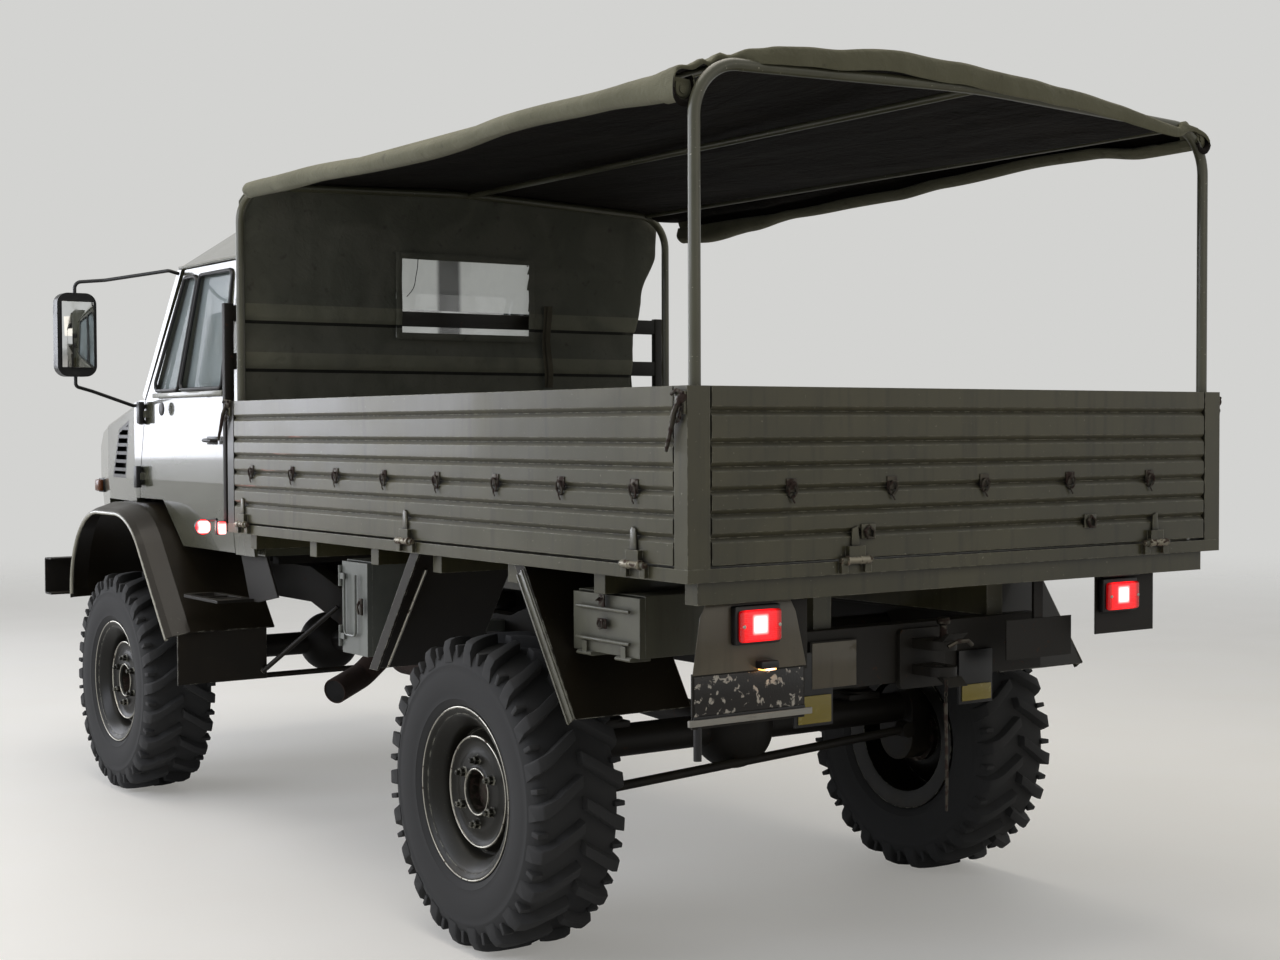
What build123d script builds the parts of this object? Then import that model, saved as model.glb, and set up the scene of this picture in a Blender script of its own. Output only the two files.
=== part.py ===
"""Military cargo truck: four-wheel-drive bonneted cab, portal axles, steel drop-side bed, bows and tarpaulin.

Frame: +X is the vehicle's left, -Y its front, +Z up. The origin is on the ground at the middle of the
overall box. All sizes are in millimetres.
"""

import os
from math import atan2, cos, degrees, hypot, radians, sin, sqrt

from build123d import *

os.makedirs("parts", exist_ok=True)

# Overall places along the truck
LENGTH = 5562.0
FRONT_END = -LENGTH / 2
REAR_END = LENGTH / 2
WHEELBASE = 3250.0
REAR_OVERHANG = 1240.0
REAR_AXLE_Y = REAR_END - REAR_OVERHANG
FRONT_AXLE_Y = REAR_AXLE_Y - WHEELBASE

# Wheels and tyres
TYRE_RADIUS = 502.0
HALF_TRACK = 941.0
LUG_HEIGHT = 34.0
LUG_COUNT = 22
LUG_WIDTH = 42.0
LUG_LEAN = 32.0
CASING_FACETS = 2 * LUG_COUNT
TYRE_HALF_WIDTH = 160.0
BEAD_HALF_WIDTH = 130.0
BEAD_RADIUS = 254.0
RIM_SEAT_CLEARANCE = 0.3
RIM_LIP_RADIUS = 273.0
RIM_HALF_WIDTH = 141.0
RIM_WALL = 8.0
WELL_RADIUS = 234.0
DISC_RING_RADIUS = 200.0
DISC_BOWL_RADIUS = 155.0
HUB_PILOT_RADIUS = 76.0
STUD_CIRCLE_RADIUS = 102.5
STUD_COUNT = 6
AXLE_Z = TYRE_RADIUS

# Portal axles
PORTAL_DROP = 110.0
TUBE_Z = AXLE_Z + PORTAL_DROP
AXLE_TUBE_RADIUS = 55.0
DIFF_RADIUS = 145.0
PORTAL_RADIUS = 88.0
PORTAL_INNER_X = 782.0
PORTAL_OUTER_X = 872.0
HUB_BACK_X = 878.0
SPINDLE_RADIUS = 40.0
BEARING_CLEARANCE = 0.05
KINGPIN_X = 700.0
KINGPIN_RADIUS = 18.0
BALL_RADIUS = 68.0
YOKE_GAP = 6.0
YOKE_PLATE = 22.0
STEER_ARM = 200.0
TIE_ROD_RADIUS = 13.0

# Ladder frame
FRAME_HALF_WIDTH = 400.0
RAIL_HEIGHT = 160.0
RAIL_FLANGE = 70.0
RAIL_WALL = 8.0
RAIL_FRONT_Z = 960.0
RAIL_LOW_Z = 880.0
RAIL_REAR_Z = 980.0
FRAME_REAR_Y = 2470.0
FRAME_FRONT_Y = -2640.0

# Cargo bed
BED_HALF_WIDTH = 1095.0
BED_FRONT_Y = -322.0
GATE_FACE_Y = 2759.0
GATE_TOP_Z = 1776.0
GATE_BOTTOM_Z = 1298.0
GATE_WALL = 30.0
GATE_GAP = 6.0
SIDE_RAIL_BOTTOM_Z = 1253.0
DECK_Z = 1290.0
POST_WIDTH = 75.0
POST_DEPTH = 60.0
GROOVE_DEPTH = 11.0
GROOVE_HALF_HEIGHT = 13.0
GROOVE_LEVELS = (1709.0, 1625.0, 1560.0, 1496.0, 1433.0, 1370.0)
BEARER_BOTTOM_Z = 1190.0
HINGE_RADIUS = 9.0
HINGE_OFFSET = 14.0

# Canopy
BOW_RADIUS = 17.0
BOW_X = 1045.0
BOW_BEND = 150.0
BOW_SHOULDER_Z = 2634.0
BOW_CROWN_Z = 2668.0
FRONT_BOW_Y = -296.0
REAR_BOW_Y = 2724.0
CURTAIN_ROLL = 26.0
RACK_X = 1062.0
RACK_Y = -388.0
RACK_POST = 40.0

# Cab
CAB_HALF_WIDTH = 960.0
CAB_REAR_Y = -438.0
CAB_FLOOR_Z = 1140.0
BELT_Z = 1800.0
EAVE_Z = 2380.0
EAVE_HALF_WIDTH = 905.0
ROOF_CROWN_Z = 2552.0
PANEL = 40.0
DOOR_REAR_Y = -633.0
HINGE_FOOT_Y = -1690.0
HINGE_FOOT_Z = 1449.0
HINGE_HEAD_Y = -1615.0
HINGE_HEAD_Z = 1764.0
PILLAR_TOP_Y = -1252.0
DOOR_GAP = 6.0
NOSE_Y = -2640.0
NOSE_HALF_WIDTH = 840.0
NOSE_TOP_Z = 1640.0
NOSE_ROUND = 30.0
HEADLAMP_X = 640.0
HEADLAMP_Z = 1240.0
LAMP_BOWL_RADIUS = 100.0
CREASE_Z = 1436.0
LOWER_TUCK = 26.0

# Front wings
WING_X = 1110.0
WING_INNER_X = 620.0
WING_WALL = 8.0
WING_CROWN = 46.0

# Bumper
BUMPER_HALF_WIDTH = 1070.0
BUMPER_BOTTOM_Z = 830.0
BUMPER_TOP_Z = 1015.0


def side_plane(x):
    """Plane whose sketch runs along Y and Z and which extrudes towards +X."""
    return Plane.YZ.offset(x)


def cross_plane(y):
    """Plane whose sketch runs along X and Z and which extrudes towards -Y."""
    return Plane.XZ.offset(-y)


def block(x, y, z, mode=Mode.ADD):
    """A cuboid between pairs of limits, added to the part being built."""
    with Locations(((x[0] + x[1]) / 2, (y[0] + y[1]) / 2, (z[0] + z[1]) / 2)):
        Box(x[1] - x[0], y[1] - y[0], z[1] - z[0], mode=mode)


def bar_x(radius, x, y, z, mode=Mode.ADD):
    """A round bar along X between two limits."""
    with Locations(Location(((x[0] + x[1]) / 2, y, z), (0, 90, 0))):
        Cylinder(radius, x[1] - x[0], mode=mode)


def bar_y(radius, x, y, z, mode=Mode.ADD):
    """A round bar along Y between two limits."""
    with Locations(Location((x, (y[0] + y[1]) / 2, z), (90, 0, 0))):
        Cylinder(radius, y[1] - y[0], mode=mode)


def bar_z(radius, x, y, z, mode=Mode.ADD):
    """An upright round bar between two limits."""
    with Locations((x, y, (z[0] + z[1]) / 2)):
        Cylinder(radius, z[1] - z[0], mode=mode)


def side_profile(points, x, mode=Mode.ADD):
    """A (Y, Z) outline extruded between two X limits."""
    with BuildSketch(side_plane(x[0])) as outline:
        Polygon(*points, align=None)
    extrude(outline.sketch, amount=x[1] - x[0], mode=mode)


def cross_profile(points, y, mode=Mode.ADD):
    """An (X, Z) outline extruded between two Y limits."""
    with BuildSketch(cross_plane(y[1])) as outline:
        Polygon(*points, align=None)
    extrude(outline.sketch, amount=y[1] - y[0], mode=mode)


def pipe(points, radius, bends, mode=Mode.ADD):
    """A round bar swept along straight runs joined by arcs."""
    with BuildLine() as path:
        FilletPolyline(*points, radius=bends)
    route = path.wires()[0]
    with BuildSketch(Plane(origin=route @ 0, z_dir=route % 0)) as section:
        Circle(radius)
    sweep(section.sketch, path=route, mode=mode)


def rod(start, end, radius, mode=Mode.ADD):
    """A straight round bar between two points."""
    foot = Vector(*start)
    run = Vector(*end) - foot
    with BuildSketch(Plane(origin=foot, z_dir=run)) as section:
        Circle(radius)
    extrude(section.sketch, amount=run.length, mode=mode)


def fixed_knuckles(centre, way, half, radius, pin):
    """The fixed half of a hinge: a pin through the middle and a barrel at each end of it."""
    middle = Vector(*centre)
    along = Vector(*way).normalized()
    rod(middle - along * (half + 2), middle + along * (half + 2), pin)
    for side in (1, -1):
        rod(middle + along * side * (half + 1), middle + along * side * (half + 26), radius)


def moving_knuckle(centre, way, half, radius, pin):
    """The moving half of a hinge: one bored barrel round the pin."""
    middle = Vector(*centre)
    along = Vector(*way).normalized()
    rod(middle - along * half, middle + along * half, radius)
    rod(middle - along * (half + 1), middle + along * (half + 1), pin + BEARING_CLEARANCE, mode=Mode.SUBTRACT)


def write(part, name):
    """Label a finished piece and store it under its node's name."""
    part.label = name
    export_step(part, f"parts/{name}.step")


# Tyre: a many-sided casing with two rows of diagonal lugs, outer face towards +X
casing_sections = (
    # (distance from the centre plane, radius)
    (-BEAD_HALF_WIDTH, RIM_LIP_RADIUS + 1),
    (-TYRE_HALF_WIDTH, BEAD_RADIUS + 108),
    (-TYRE_HALF_WIDTH + 36, TYRE_RADIUS - LUG_HEIGHT),
    (TYRE_HALF_WIDTH - 36, TYRE_RADIUS - LUG_HEIGHT),
    (TYRE_HALF_WIDTH, BEAD_RADIUS + 108),
    (BEAD_HALF_WIDTH, RIM_LIP_RADIUS + 1),
)
LUG_INNER_X = 4.0
LUG_OUTER_X = TYRE_HALF_WIDTH - 14
LUG_SINK = 12.0

with BuildPart() as tyre:
    for x, radius in casing_sections:
        with BuildSketch(side_plane(x)):
            RegularPolygon(radius / cos(radians(180 / CASING_FACETS)), CASING_FACETS)
    loft(ruled=True)
    with BuildSketch(side_plane(-TYRE_HALF_WIDTH)) as bore:
        RegularPolygon(BEAD_RADIUS / cos(radians(180 / CASING_FACETS)), CASING_FACETS)
    extrude(bore.sketch, amount=2 * TYRE_HALF_WIDTH, mode=Mode.SUBTRACT)
    lug_run = LUG_OUTER_X - LUG_INNER_X
    lug_shift = lug_run * sin(radians(LUG_LEAN)) / cos(radians(LUG_LEAN))
    lug_reach = (LUG_WIDTH + lug_shift) / 2
    lug_top = sqrt(TYRE_RADIUS**2 - lug_reach**2)
    for row in (1, -1):
        with BuildSketch(Plane.XY.offset(TYRE_RADIUS - LUG_HEIGHT - LUG_SINK), mode=Mode.PRIVATE) as lug_plan:
            Polygon(
                (row * LUG_INNER_X, -lug_reach),
                (row * LUG_OUTER_X, lug_reach - LUG_WIDTH),
                (row * LUG_OUTER_X, lug_reach),
                (row * LUG_INNER_X, LUG_WIDTH - lug_reach),
                align=None,
            )
        lug = extrude(lug_plan.sketch, amount=lug_top - (TYRE_RADIUS - LUG_HEIGHT - LUG_SINK), mode=Mode.PRIVATE)
        for index in range(LUG_COUNT):
            turn = 360 / LUG_COUNT * (index + (0.5 if row < 0 else 0.0))
            add(Rot(X=turn) * lug)

# Rim with its dished disc, and the hub flange and cap that turn with it
LIP_X = RIM_HALF_WIDTH
SEAT_HALF_WIDTH = BEAD_HALF_WIDTH + RIM_SEAT_CLEARANCE
with BuildPart() as rim:
    with BuildSketch(Plane.XY):
        with BuildLine():
            Polyline(
                (LIP_X, RIM_LIP_RADIUS),
                (LIP_X, BEAD_RADIUS - RIM_WALL - 4),
                (92, WELL_RADIUS - RIM_WALL),
                (78, DISC_RING_RADIUS),
                (22, DISC_BOWL_RADIUS),
                (-2, DISC_BOWL_RADIUS - 20),
                (-2, HUB_PILOT_RADIUS),
                (16, HUB_PILOT_RADIUS - 12),
                (16, 0),
                (-40, 0),
                (-40, STUD_CIRCLE_RADIUS + 22),
                (-14, DISC_BOWL_RADIUS),
                (40, WELL_RADIUS - RIM_WALL),
                (-LIP_X, WELL_RADIUS - RIM_WALL),
                (-LIP_X, RIM_LIP_RADIUS),
                (-SEAT_HALF_WIDTH, RIM_LIP_RADIUS),
                (-SEAT_HALF_WIDTH, BEAD_RADIUS - RIM_SEAT_CLEARANCE),
                (SEAT_HALF_WIDTH, BEAD_RADIUS - RIM_SEAT_CLEARANCE),
                (SEAT_HALF_WIDTH, RIM_LIP_RADIUS),
                close=True,
            )
        make_face()
    revolve(axis=Axis.X)
    with BuildSketch(side_plane(-2)) as studs:
        with PolarLocations(STUD_CIRCLE_RADIUS, STUD_COUNT):
            RegularPolygon(14, 6)
    extrude(studs.sketch, amount=16)
    with BuildSketch(side_plane(HUB_BACK_X - HALF_TRACK)) as hub_back:
        Circle(STUD_CIRCLE_RADIUS)
        Circle(SPINDLE_RADIUS + BEARING_CLEARANCE, mode=Mode.SUBTRACT)
    extrude(hub_back.sketch, amount=HALF_TRACK - HUB_BACK_X - 40)

wheel_places = (
    # (name, side, axle position)
    ("fl", 1, FRONT_AXLE_Y),
    ("fr", -1, FRONT_AXLE_Y),
    ("rl", 1, REAR_AXLE_Y),
    ("rr", -1, REAR_AXLE_Y),
)
for corner, side, axle_y in wheel_places:
    place = Pos(side * HALF_TRACK, axle_y, AXLE_Z)
    for kind, master in (("tyre", tyre.part), ("rim", rim.part)):
        turned = master if side > 0 else mirror(master, about=Plane.YZ)
        write(place * turned, f"{kind}_{corner}")


def portal_box(axle_y):
    """Drop gear casing of the left end, from the axle tube's height down to the wheel's."""
    with BuildSketch(side_plane(PORTAL_INNER_X)) as casing:
        with Locations((axle_y, AXLE_Z)):
            Circle(PORTAL_RADIUS)
        with Locations((axle_y, TUBE_Z)):
            Circle(PORTAL_RADIUS)
        with Locations((axle_y, (AXLE_Z + TUBE_Z) / 2)):
            Rectangle(2 * PORTAL_RADIUS, PORTAL_DROP)
    extrude(casing.sketch, amount=PORTAL_OUTER_X - PORTAL_INNER_X)
    bar_x(SPINDLE_RADIUS, (PORTAL_OUTER_X, HALF_TRACK - 41), axle_y, AXLE_Z)


# Rear axle: tube, central gear casing, fixed portal boxes and the tube that holds its drive shaft
CROSS_TUBE_RADIUS = 38.0
GEARBOX = dict(x=170.0, y=(-900.0, -420.0), z=(600.0, RAIL_LOW_Z - CROSS_TUBE_RADIUS - 0.3))
GEARBOX_Z = 720.0
TORQUE_TUBE_RADIUS = 52.0
with BuildPart() as rear_axle:
    portal_box(REAR_AXLE_Y)
    mirror(about=Plane.YZ)
    bar_x(AXLE_TUBE_RADIUS, (-PORTAL_INNER_X, PORTAL_INNER_X), REAR_AXLE_Y, TUBE_Z)
    with Locations((0, REAR_AXLE_Y, TUBE_Z)):
        Sphere(DIFF_RADIUS)
    rod((0, REAR_AXLE_Y, TUBE_Z), (0, GEARBOX["y"][1] + 30, GEARBOX_Z), TORQUE_TUBE_RADIUS)
    bar_y(TORQUE_TUBE_RADIUS + 12, 0, (GEARBOX["y"][1] + 0.3, GEARBOX["y"][1] + 60), GEARBOX_Z)
write(rear_axle.part, "rear_axle")

# Front axle: the same tube and casing, ending in steering balls with kingpins
with BuildPart() as front_axle:
    bar_x(AXLE_TUBE_RADIUS, (-KINGPIN_X, KINGPIN_X), FRONT_AXLE_Y, TUBE_Z)
    with Locations((KINGPIN_X, FRONT_AXLE_Y, TUBE_Z), (-KINGPIN_X, FRONT_AXLE_Y, TUBE_Z)):
        Sphere(BALL_RADIUS)
    pin_reach = BALL_RADIUS + YOKE_GAP + YOKE_PLATE
    for side in (1, -1):
        bar_z(KINGPIN_RADIUS, side * KINGPIN_X, FRONT_AXLE_Y, (TUBE_Z - pin_reach, TUBE_Z + pin_reach))
    with Locations((0, FRONT_AXLE_Y, TUBE_Z)):
        Sphere(DIFF_RADIUS)
    rod((0, FRONT_AXLE_Y, TUBE_Z), (0, GEARBOX["y"][0] - 30, GEARBOX_Z), TORQUE_TUBE_RADIUS)
    bar_y(TORQUE_TUBE_RADIUS + 12, 0, (GEARBOX["y"][0] - 60, GEARBOX["y"][0] - 0.3), GEARBOX_Z)
write(front_axle.part, "front_axle")

# Steering knuckle: portal box, yoke over the ball and steering arm behind
PIN_Y = FRONT_AXLE_Y + STEER_ARM
YOKE_LOW_Z = TUBE_Z - BALL_RADIUS - YOKE_GAP - YOKE_PLATE
YOKE_HIGH_Z = TUBE_Z + BALL_RADIUS + YOKE_GAP
with BuildPart() as knuckle:
    portal_box(FRONT_AXLE_Y)
    for foot in (YOKE_LOW_Z, YOKE_HIGH_Z):
        block((KINGPIN_X - 40, PORTAL_INNER_X), (FRONT_AXLE_Y - 50, FRONT_AXLE_Y + 50), (foot, foot + YOKE_PLATE))
        bar_z(KINGPIN_RADIUS + BEARING_CLEARANCE, KINGPIN_X, FRONT_AXLE_Y, (foot - 1, foot + YOKE_PLATE + 1),
              mode=Mode.SUBTRACT)
    block((KINGPIN_X - 25, KINGPIN_X + 25), (FRONT_AXLE_Y + 40, PIN_Y + 25), (YOKE_LOW_Z, YOKE_LOW_Z + YOKE_PLATE))
    bar_z(10, KINGPIN_X, PIN_Y, (YOKE_LOW_Z - 34, YOKE_LOW_Z))
write(knuckle.part, "knuckle_left")
write(mirror(knuckle.part, about=Plane.YZ), "knuckle_right")

# Tie rod between the two steering arms' pins
TIE_EYE_Z = (YOKE_LOW_Z - 34, YOKE_LOW_Z - 4)
with BuildPart() as tie_rod:
    bar_x(TIE_ROD_RADIUS, (-KINGPIN_X, KINGPIN_X), PIN_Y, sum(TIE_EYE_Z) / 2)
    for side in (1, -1):
        bar_z(24, side * KINGPIN_X, PIN_Y, TIE_EYE_Z)
        bar_z(10.4, side * KINGPIN_X, PIN_Y, (TIE_EYE_Z[0] - 1, TIE_EYE_Z[1] + 1), mode=Mode.SUBTRACT)
write(tie_rod.part, "tie_rod")

# Ladder frame: two channel rails, cranked down between the axles, and crossmembers
rail_line = (
    # (Y, height of the rail's middle)
    (FRAME_FRONT_Y, RAIL_FRONT_Z),
    (-1050, RAIL_FRONT_Z),
    (-750, RAIL_LOW_Z),
    (700, RAIL_LOW_Z),
    (1000, RAIL_REAR_Z),
    (FRAME_REAR_Y, RAIL_REAR_Z),
)


def rail_outline(inset, end_inset):
    """Side view of a rail, shrunk by an inset on its top and bottom edges."""
    half = RAIL_HEIGHT / 2 - inset
    ends = [(y, z) for y, z in rail_line]
    ends[0] = (ends[0][0] - end_inset, ends[0][1])
    ends[-1] = (ends[-1][0] + end_inset, ends[-1][1])
    return [(y, z + half) for y, z in ends] + [(y, z - half) for y, z in reversed(ends)]


CROSSMEMBER_YS = (-2560.0, -1250.0, -600.0, 500.0, 1180.0, 1900.0)
with BuildPart() as ladder_frame:
    side_profile(rail_outline(0, 0), (FRAME_HALF_WIDTH - RAIL_FLANGE, FRAME_HALF_WIDTH))
    side_profile(rail_outline(RAIL_WALL, 1), (FRAME_HALF_WIDTH - RAIL_FLANGE - 1, FRAME_HALF_WIDTH - RAIL_WALL),
                 mode=Mode.SUBTRACT)
    mirror(about=Plane.YZ)
    for y in CROSSMEMBER_YS:
        if y < -1050 or y > 1000:
            level = RAIL_FRONT_Z if y < 0 else RAIL_REAR_Z
        else:
            level = RAIL_LOW_Z
        bar_x(CROSS_TUBE_RADIUS, (-FRAME_HALF_WIDTH + RAIL_WALL / 2, FRAME_HALF_WIDTH - RAIL_WALL / 2), y, level)
    for side in (1, -1):
        middle = side * (FRAME_HALF_WIDTH - RAIL_FLANGE / 2)
        block((middle - 35, middle + 35), (-1560, -1500), (RAIL_FRONT_Z + RAIL_HEIGHT / 2 - 8, 1345))
        block((middle - 35, middle + 35), (-560, -500), (RAIL_LOW_Z + RAIL_HEIGHT / 2 - 8, CAB_FLOOR_Z - 40))
    block((-800, 800), (-560, -500), (CAB_FLOOR_Z - 40, CAB_FLOOR_Z))
    block((-545, 545), (FRAME_REAR_Y, FRAME_REAR_Y + 12), (RAIL_REAR_Z - 100, RAIL_REAR_Z + 80))
    block((-545, 545), (FRAME_REAR_Y - 50, FRAME_REAR_Y), (RAIL_REAR_Z + 68, RAIL_REAR_Z + 80))
write(ladder_frame.part, "ladder_frame")

# Engine and gearbox: one plain mass between the rails
with BuildPart() as engine_block:
    flange_x = FRAME_HALF_WIDTH - RAIL_FLANGE - 0.3
    block((-flange_x, flange_x), (-2300, -1300), (RAIL_FRONT_Z - 90, 1090))
    block((-215, 215), (-2300, -1300), (1090, 1330))
    block((-GEARBOX["x"], GEARBOX["x"]), (-1300, GEARBOX["y"][0] + 1), (790, 915))
    block((-GEARBOX["x"], GEARBOX["x"]), GEARBOX["y"], GEARBOX["z"])
write(engine_block.part, "engine_block")

# Springs and dampers between frame brackets and the axles
SPRING_X = 560.0
SPRING_RADIUS = 68.0
with BuildPart() as springs:
    for axle_y, rail_z in ((FRONT_AXLE_Y, RAIL_FRONT_Z), (REAR_AXLE_Y, RAIL_REAR_Z)):
        bar_z(SPRING_RADIUS, SPRING_X, axle_y, (TUBE_Z + AXLE_TUBE_RADIUS + 8, rail_z + 20))
        block((SPRING_X - 75, SPRING_X + 75), (axle_y - 75, axle_y + 75),
              (TUBE_Z + AXLE_TUBE_RADIUS, TUBE_Z + AXLE_TUBE_RADIUS + 8))
        block((FRAME_HALF_WIDTH, SPRING_X + 85), (axle_y - 85, axle_y + 85), (rail_z + 20, rail_z + 60))
    mirror(about=Plane.YZ)
write(springs.part, "springs")

DAMPER_SHIFT = 120.0
with BuildPart() as dampers:
    for axle_y, rail_z, way in ((FRONT_AXLE_Y, RAIL_FRONT_Z, 1), (REAR_AXLE_Y, RAIL_REAR_Z, -1)):
        foot_y = axle_y + way * DAMPER_SHIFT
        bar_z(30, 470, foot_y, (TUBE_Z + 40, rail_z + 10))
        near, far = sorted((axle_y + way * (AXLE_TUBE_RADIUS + 0.3), foot_y + way * 30))
        block((440, 500), (near, far), (TUBE_Z - 10, TUBE_Z + 40))
        block((FRAME_HALF_WIDTH, 500), (foot_y - 30, foot_y + 30), (rail_z + 10, rail_z + 50))
    mirror(about=Plane.YZ)
write(dampers.part, "dampers")

# Front bumper: a deep channel open to the rear
with BuildPart() as front_bumper:
    block((-BUMPER_HALF_WIDTH, BUMPER_HALF_WIDTH), (FRONT_END, FRONT_END + 100), (BUMPER_BOTTOM_Z, BUMPER_TOP_Z))
    fillet(front_bumper.edges().filter_by(Axis.X).group_by(Axis.Y)[0], 14)
    block((-BUMPER_HALF_WIDTH - 1, BUMPER_HALF_WIDTH + 1), (FRONT_END + 8, FRONT_END + 101),
          (BUMPER_BOTTOM_Z + 8, BUMPER_TOP_Z - 8), mode=Mode.SUBTRACT)
    for side in (1, -1):
        block((side * 365 - 35, side * 365 + 35), (FRONT_END + 8, FRAME_FRONT_Y),
              (RAIL_FRONT_Z - 80, RAIL_FRONT_Z + 40))
write(front_bumper.part, "front_bumper")

# Fuel tank on the right of the frame, battery box on the left
with BuildPart() as fuel_tank:
    block((-800, -FRAME_HALF_WIDTH - 30), (-600, 300), (690, 1050))
    fillet(fuel_tank.edges().filter_by(Axis.Y), 50)
    for y in (-450, 150):
        block((-FRAME_HALF_WIDTH - 30, -FRAME_HALF_WIDTH), (y - 20, y + 20), (RAIL_LOW_Z - 60, RAIL_LOW_Z + 60))
write(fuel_tank.part, "fuel_tank")

# Exhaust: silencer beside the left rail and a tail pipe out to the left
SILENCER_X = 590.0
with BuildPart() as exhaust:
    bar_y(95, SILENCER_X, (250, 780), 800)
    pipe([(SILENCER_X, 260, 800), (SILENCER_X, 90, 800), (700, 60, 690), (860, 150, 650)], 50, [60, 60])
    block((FRAME_HALF_WIDTH, SILENCER_X), (480, 520), (840, 880))
write(exhaust.part, "exhaust")

# Locker beside the frame behind the cab
LOCKER = dict(x=(700.0, 1010.0), y=(530.0, 730.0), z=(851.0, BEARER_BOTTOM_Z - 0.3))
LID = 20.0
LID_GAP = 0.5
LID_BARREL = 5.5
LID_PIN = 2.5
LOCKER_PIN = (LOCKER["x"][1] + 7, LOCKER["y"][0] - 7)
LOCKER_HINGE_ZS = (LOCKER["z"][0] + 60, LOCKER["z"][1] - 60)
with BuildPart() as can_locker:
    block((LOCKER["x"][0], LOCKER["x"][1] - LID), LOCKER["y"], LOCKER["z"])
    block((LOCKER["x"][0] + 4, LOCKER["x"][1] - LID + 1), (LOCKER["y"][0] + 4, LOCKER["y"][1] - 4),
          (LOCKER["z"][0] + 4, LOCKER["z"][1] - 4), mode=Mode.SUBTRACT)
    block((FRAME_HALF_WIDTH, LOCKER["x"][0]), (600, 660), (900, 940))
    for z in LOCKER_HINGE_ZS:
        fixed_knuckles((LOCKER_PIN[0], LOCKER_PIN[1], z), (0, 0, 1), 12, LID_BARREL, LID_PIN)
        for foot in (z - 38, z + 14):
            block((LOCKER["x"][1] - 60, LOCKER_PIN[0]), (LOCKER_PIN[1] - LID_BARREL, LOCKER["y"][0]), (foot, foot + 24))
write(can_locker.part, "can_locker")

with BuildPart() as locker_door:
    block((LOCKER["x"][1] - LID + LID_GAP, LOCKER["x"][1]), LOCKER["y"], (LOCKER["z"][0], LOCKER["z"][1] - 6))
    for z in LOCKER_HINGE_ZS:
        block((LOCKER["x"][1], LOCKER_PIN[0] + LID_PIN), (LOCKER_PIN[1] + 4, LOCKER["y"][0] + 30), (z - 11, z + 11))
        moving_knuckle((LOCKER_PIN[0], LOCKER_PIN[1], z), (0, 0, 1), 12, LID_BARREL, LID_PIN)
write(locker_door.part, "locker_door")

# Toolbox under the bed's rear left corner
TOOLBOX = dict(x=(640.0, 1005.0), y=(2070.0, 2410.0), z=(1013.0, BEARER_BOTTOM_Z - 0.3))
TOOLBOX_PIN = (TOOLBOX["x"][1] + 7, TOOLBOX["z"][0] - 7)
TOOLBOX_HINGE_YS = (TOOLBOX["y"][0] + 70, TOOLBOX["y"][1] - 70)
with BuildPart() as toolbox:
    block((TOOLBOX["x"][0], TOOLBOX["x"][1] - LID), TOOLBOX["y"], TOOLBOX["z"])
    block((TOOLBOX["x"][0] + 4, TOOLBOX["x"][1] - LID + 1), (TOOLBOX["y"][0] + 4, TOOLBOX["y"][1] - 4),
          (TOOLBOX["z"][0] + 4, TOOLBOX["z"][1] - 4), mode=Mode.SUBTRACT)
    for y in TOOLBOX_HINGE_YS:
        fixed_knuckles((TOOLBOX_PIN[0], y, TOOLBOX_PIN[1]), (0, 1, 0), 12, LID_BARREL, LID_PIN)
        for foot in (y - 38, y + 14):
            block((TOOLBOX["x"][1] - 60, TOOLBOX_PIN[0]), (foot, foot + 24), (TOOLBOX_PIN[1] - LID_BARREL, TOOLBOX["z"][0]))
write(toolbox.part, "toolbox")

with BuildPart() as toolbox_door:
    block((TOOLBOX["x"][1] - LID + LID_GAP, TOOLBOX["x"][1]), TOOLBOX["y"], (TOOLBOX["z"][0], TOOLBOX["z"][1] - 6))
    for y in TOOLBOX_HINGE_YS:
        block((TOOLBOX["x"][1], TOOLBOX_PIN[0] + LID_PIN), (y - 11, y + 11), (TOOLBOX_PIN[1] + 4, TOOLBOX["z"][0] + 30))
        moving_knuckle((TOOLBOX_PIN[0], y, TOOLBOX_PIN[1]), (0, 1, 0), 12, LID_BARREL, LID_PIN)
write(toolbox_door.part, "toolbox_door")

# Front wings: a crowned sheet swept over the arch
wing_path = [
    # (Y, Z) corners of the lip's line
    (FRONT_AXLE_Y - 541, 850),
    (FRONT_AXLE_Y - 541, 1280),
    (FRONT_AXLE_Y + 269, 1280),
    (FRONT_AXLE_Y + 717, 760),
]
wing_bends = [390, 400]
WING_FLAP = dict(x=(650.0, 1060.0), y=-985.0, z=(560.0, 790.0))
with BuildPart() as front_wings:
    with BuildLine(side_plane(WING_X)) as lip:
        FilletPolyline(*wing_path, radius=wing_bends)
    lip_wire = lip.wires()[0]
    with BuildSketch(Plane(origin=lip_wire @ 0, x_dir=(1, 0, 0), z_dir=lip_wire % 0)) as wing_section:
        # sketch x runs along +X, sketch y towards the wheel
        Polygon((0, 0), (0, -WING_WALL), (-25, -22), (-100, -WING_CROWN), (WING_INNER_X - WING_X, -WING_CROWN),
                (WING_INNER_X - WING_X, WING_WALL - WING_CROWN), (-98, WING_WALL - WING_CROWN), (-22, -14),
                (-WING_WALL, 0), align=None)
    sweep(wing_section.sketch, path=lip_wire)
    block((WING_FLAP["x"][0], WING_FLAP["x"][1]), (WING_FLAP["y"], WING_FLAP["y"] + 8), WING_FLAP["z"])
    rod((WING_FLAP["x"][0] + 20, WING_FLAP["y"] + 6, WING_FLAP["z"][0] + 30), (FRAME_HALF_WIDTH + 9.3, -760, RAIL_LOW_Z), 11)
    mirror(about=Plane.YZ)
write(front_wings.part, "front_wings")

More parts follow.
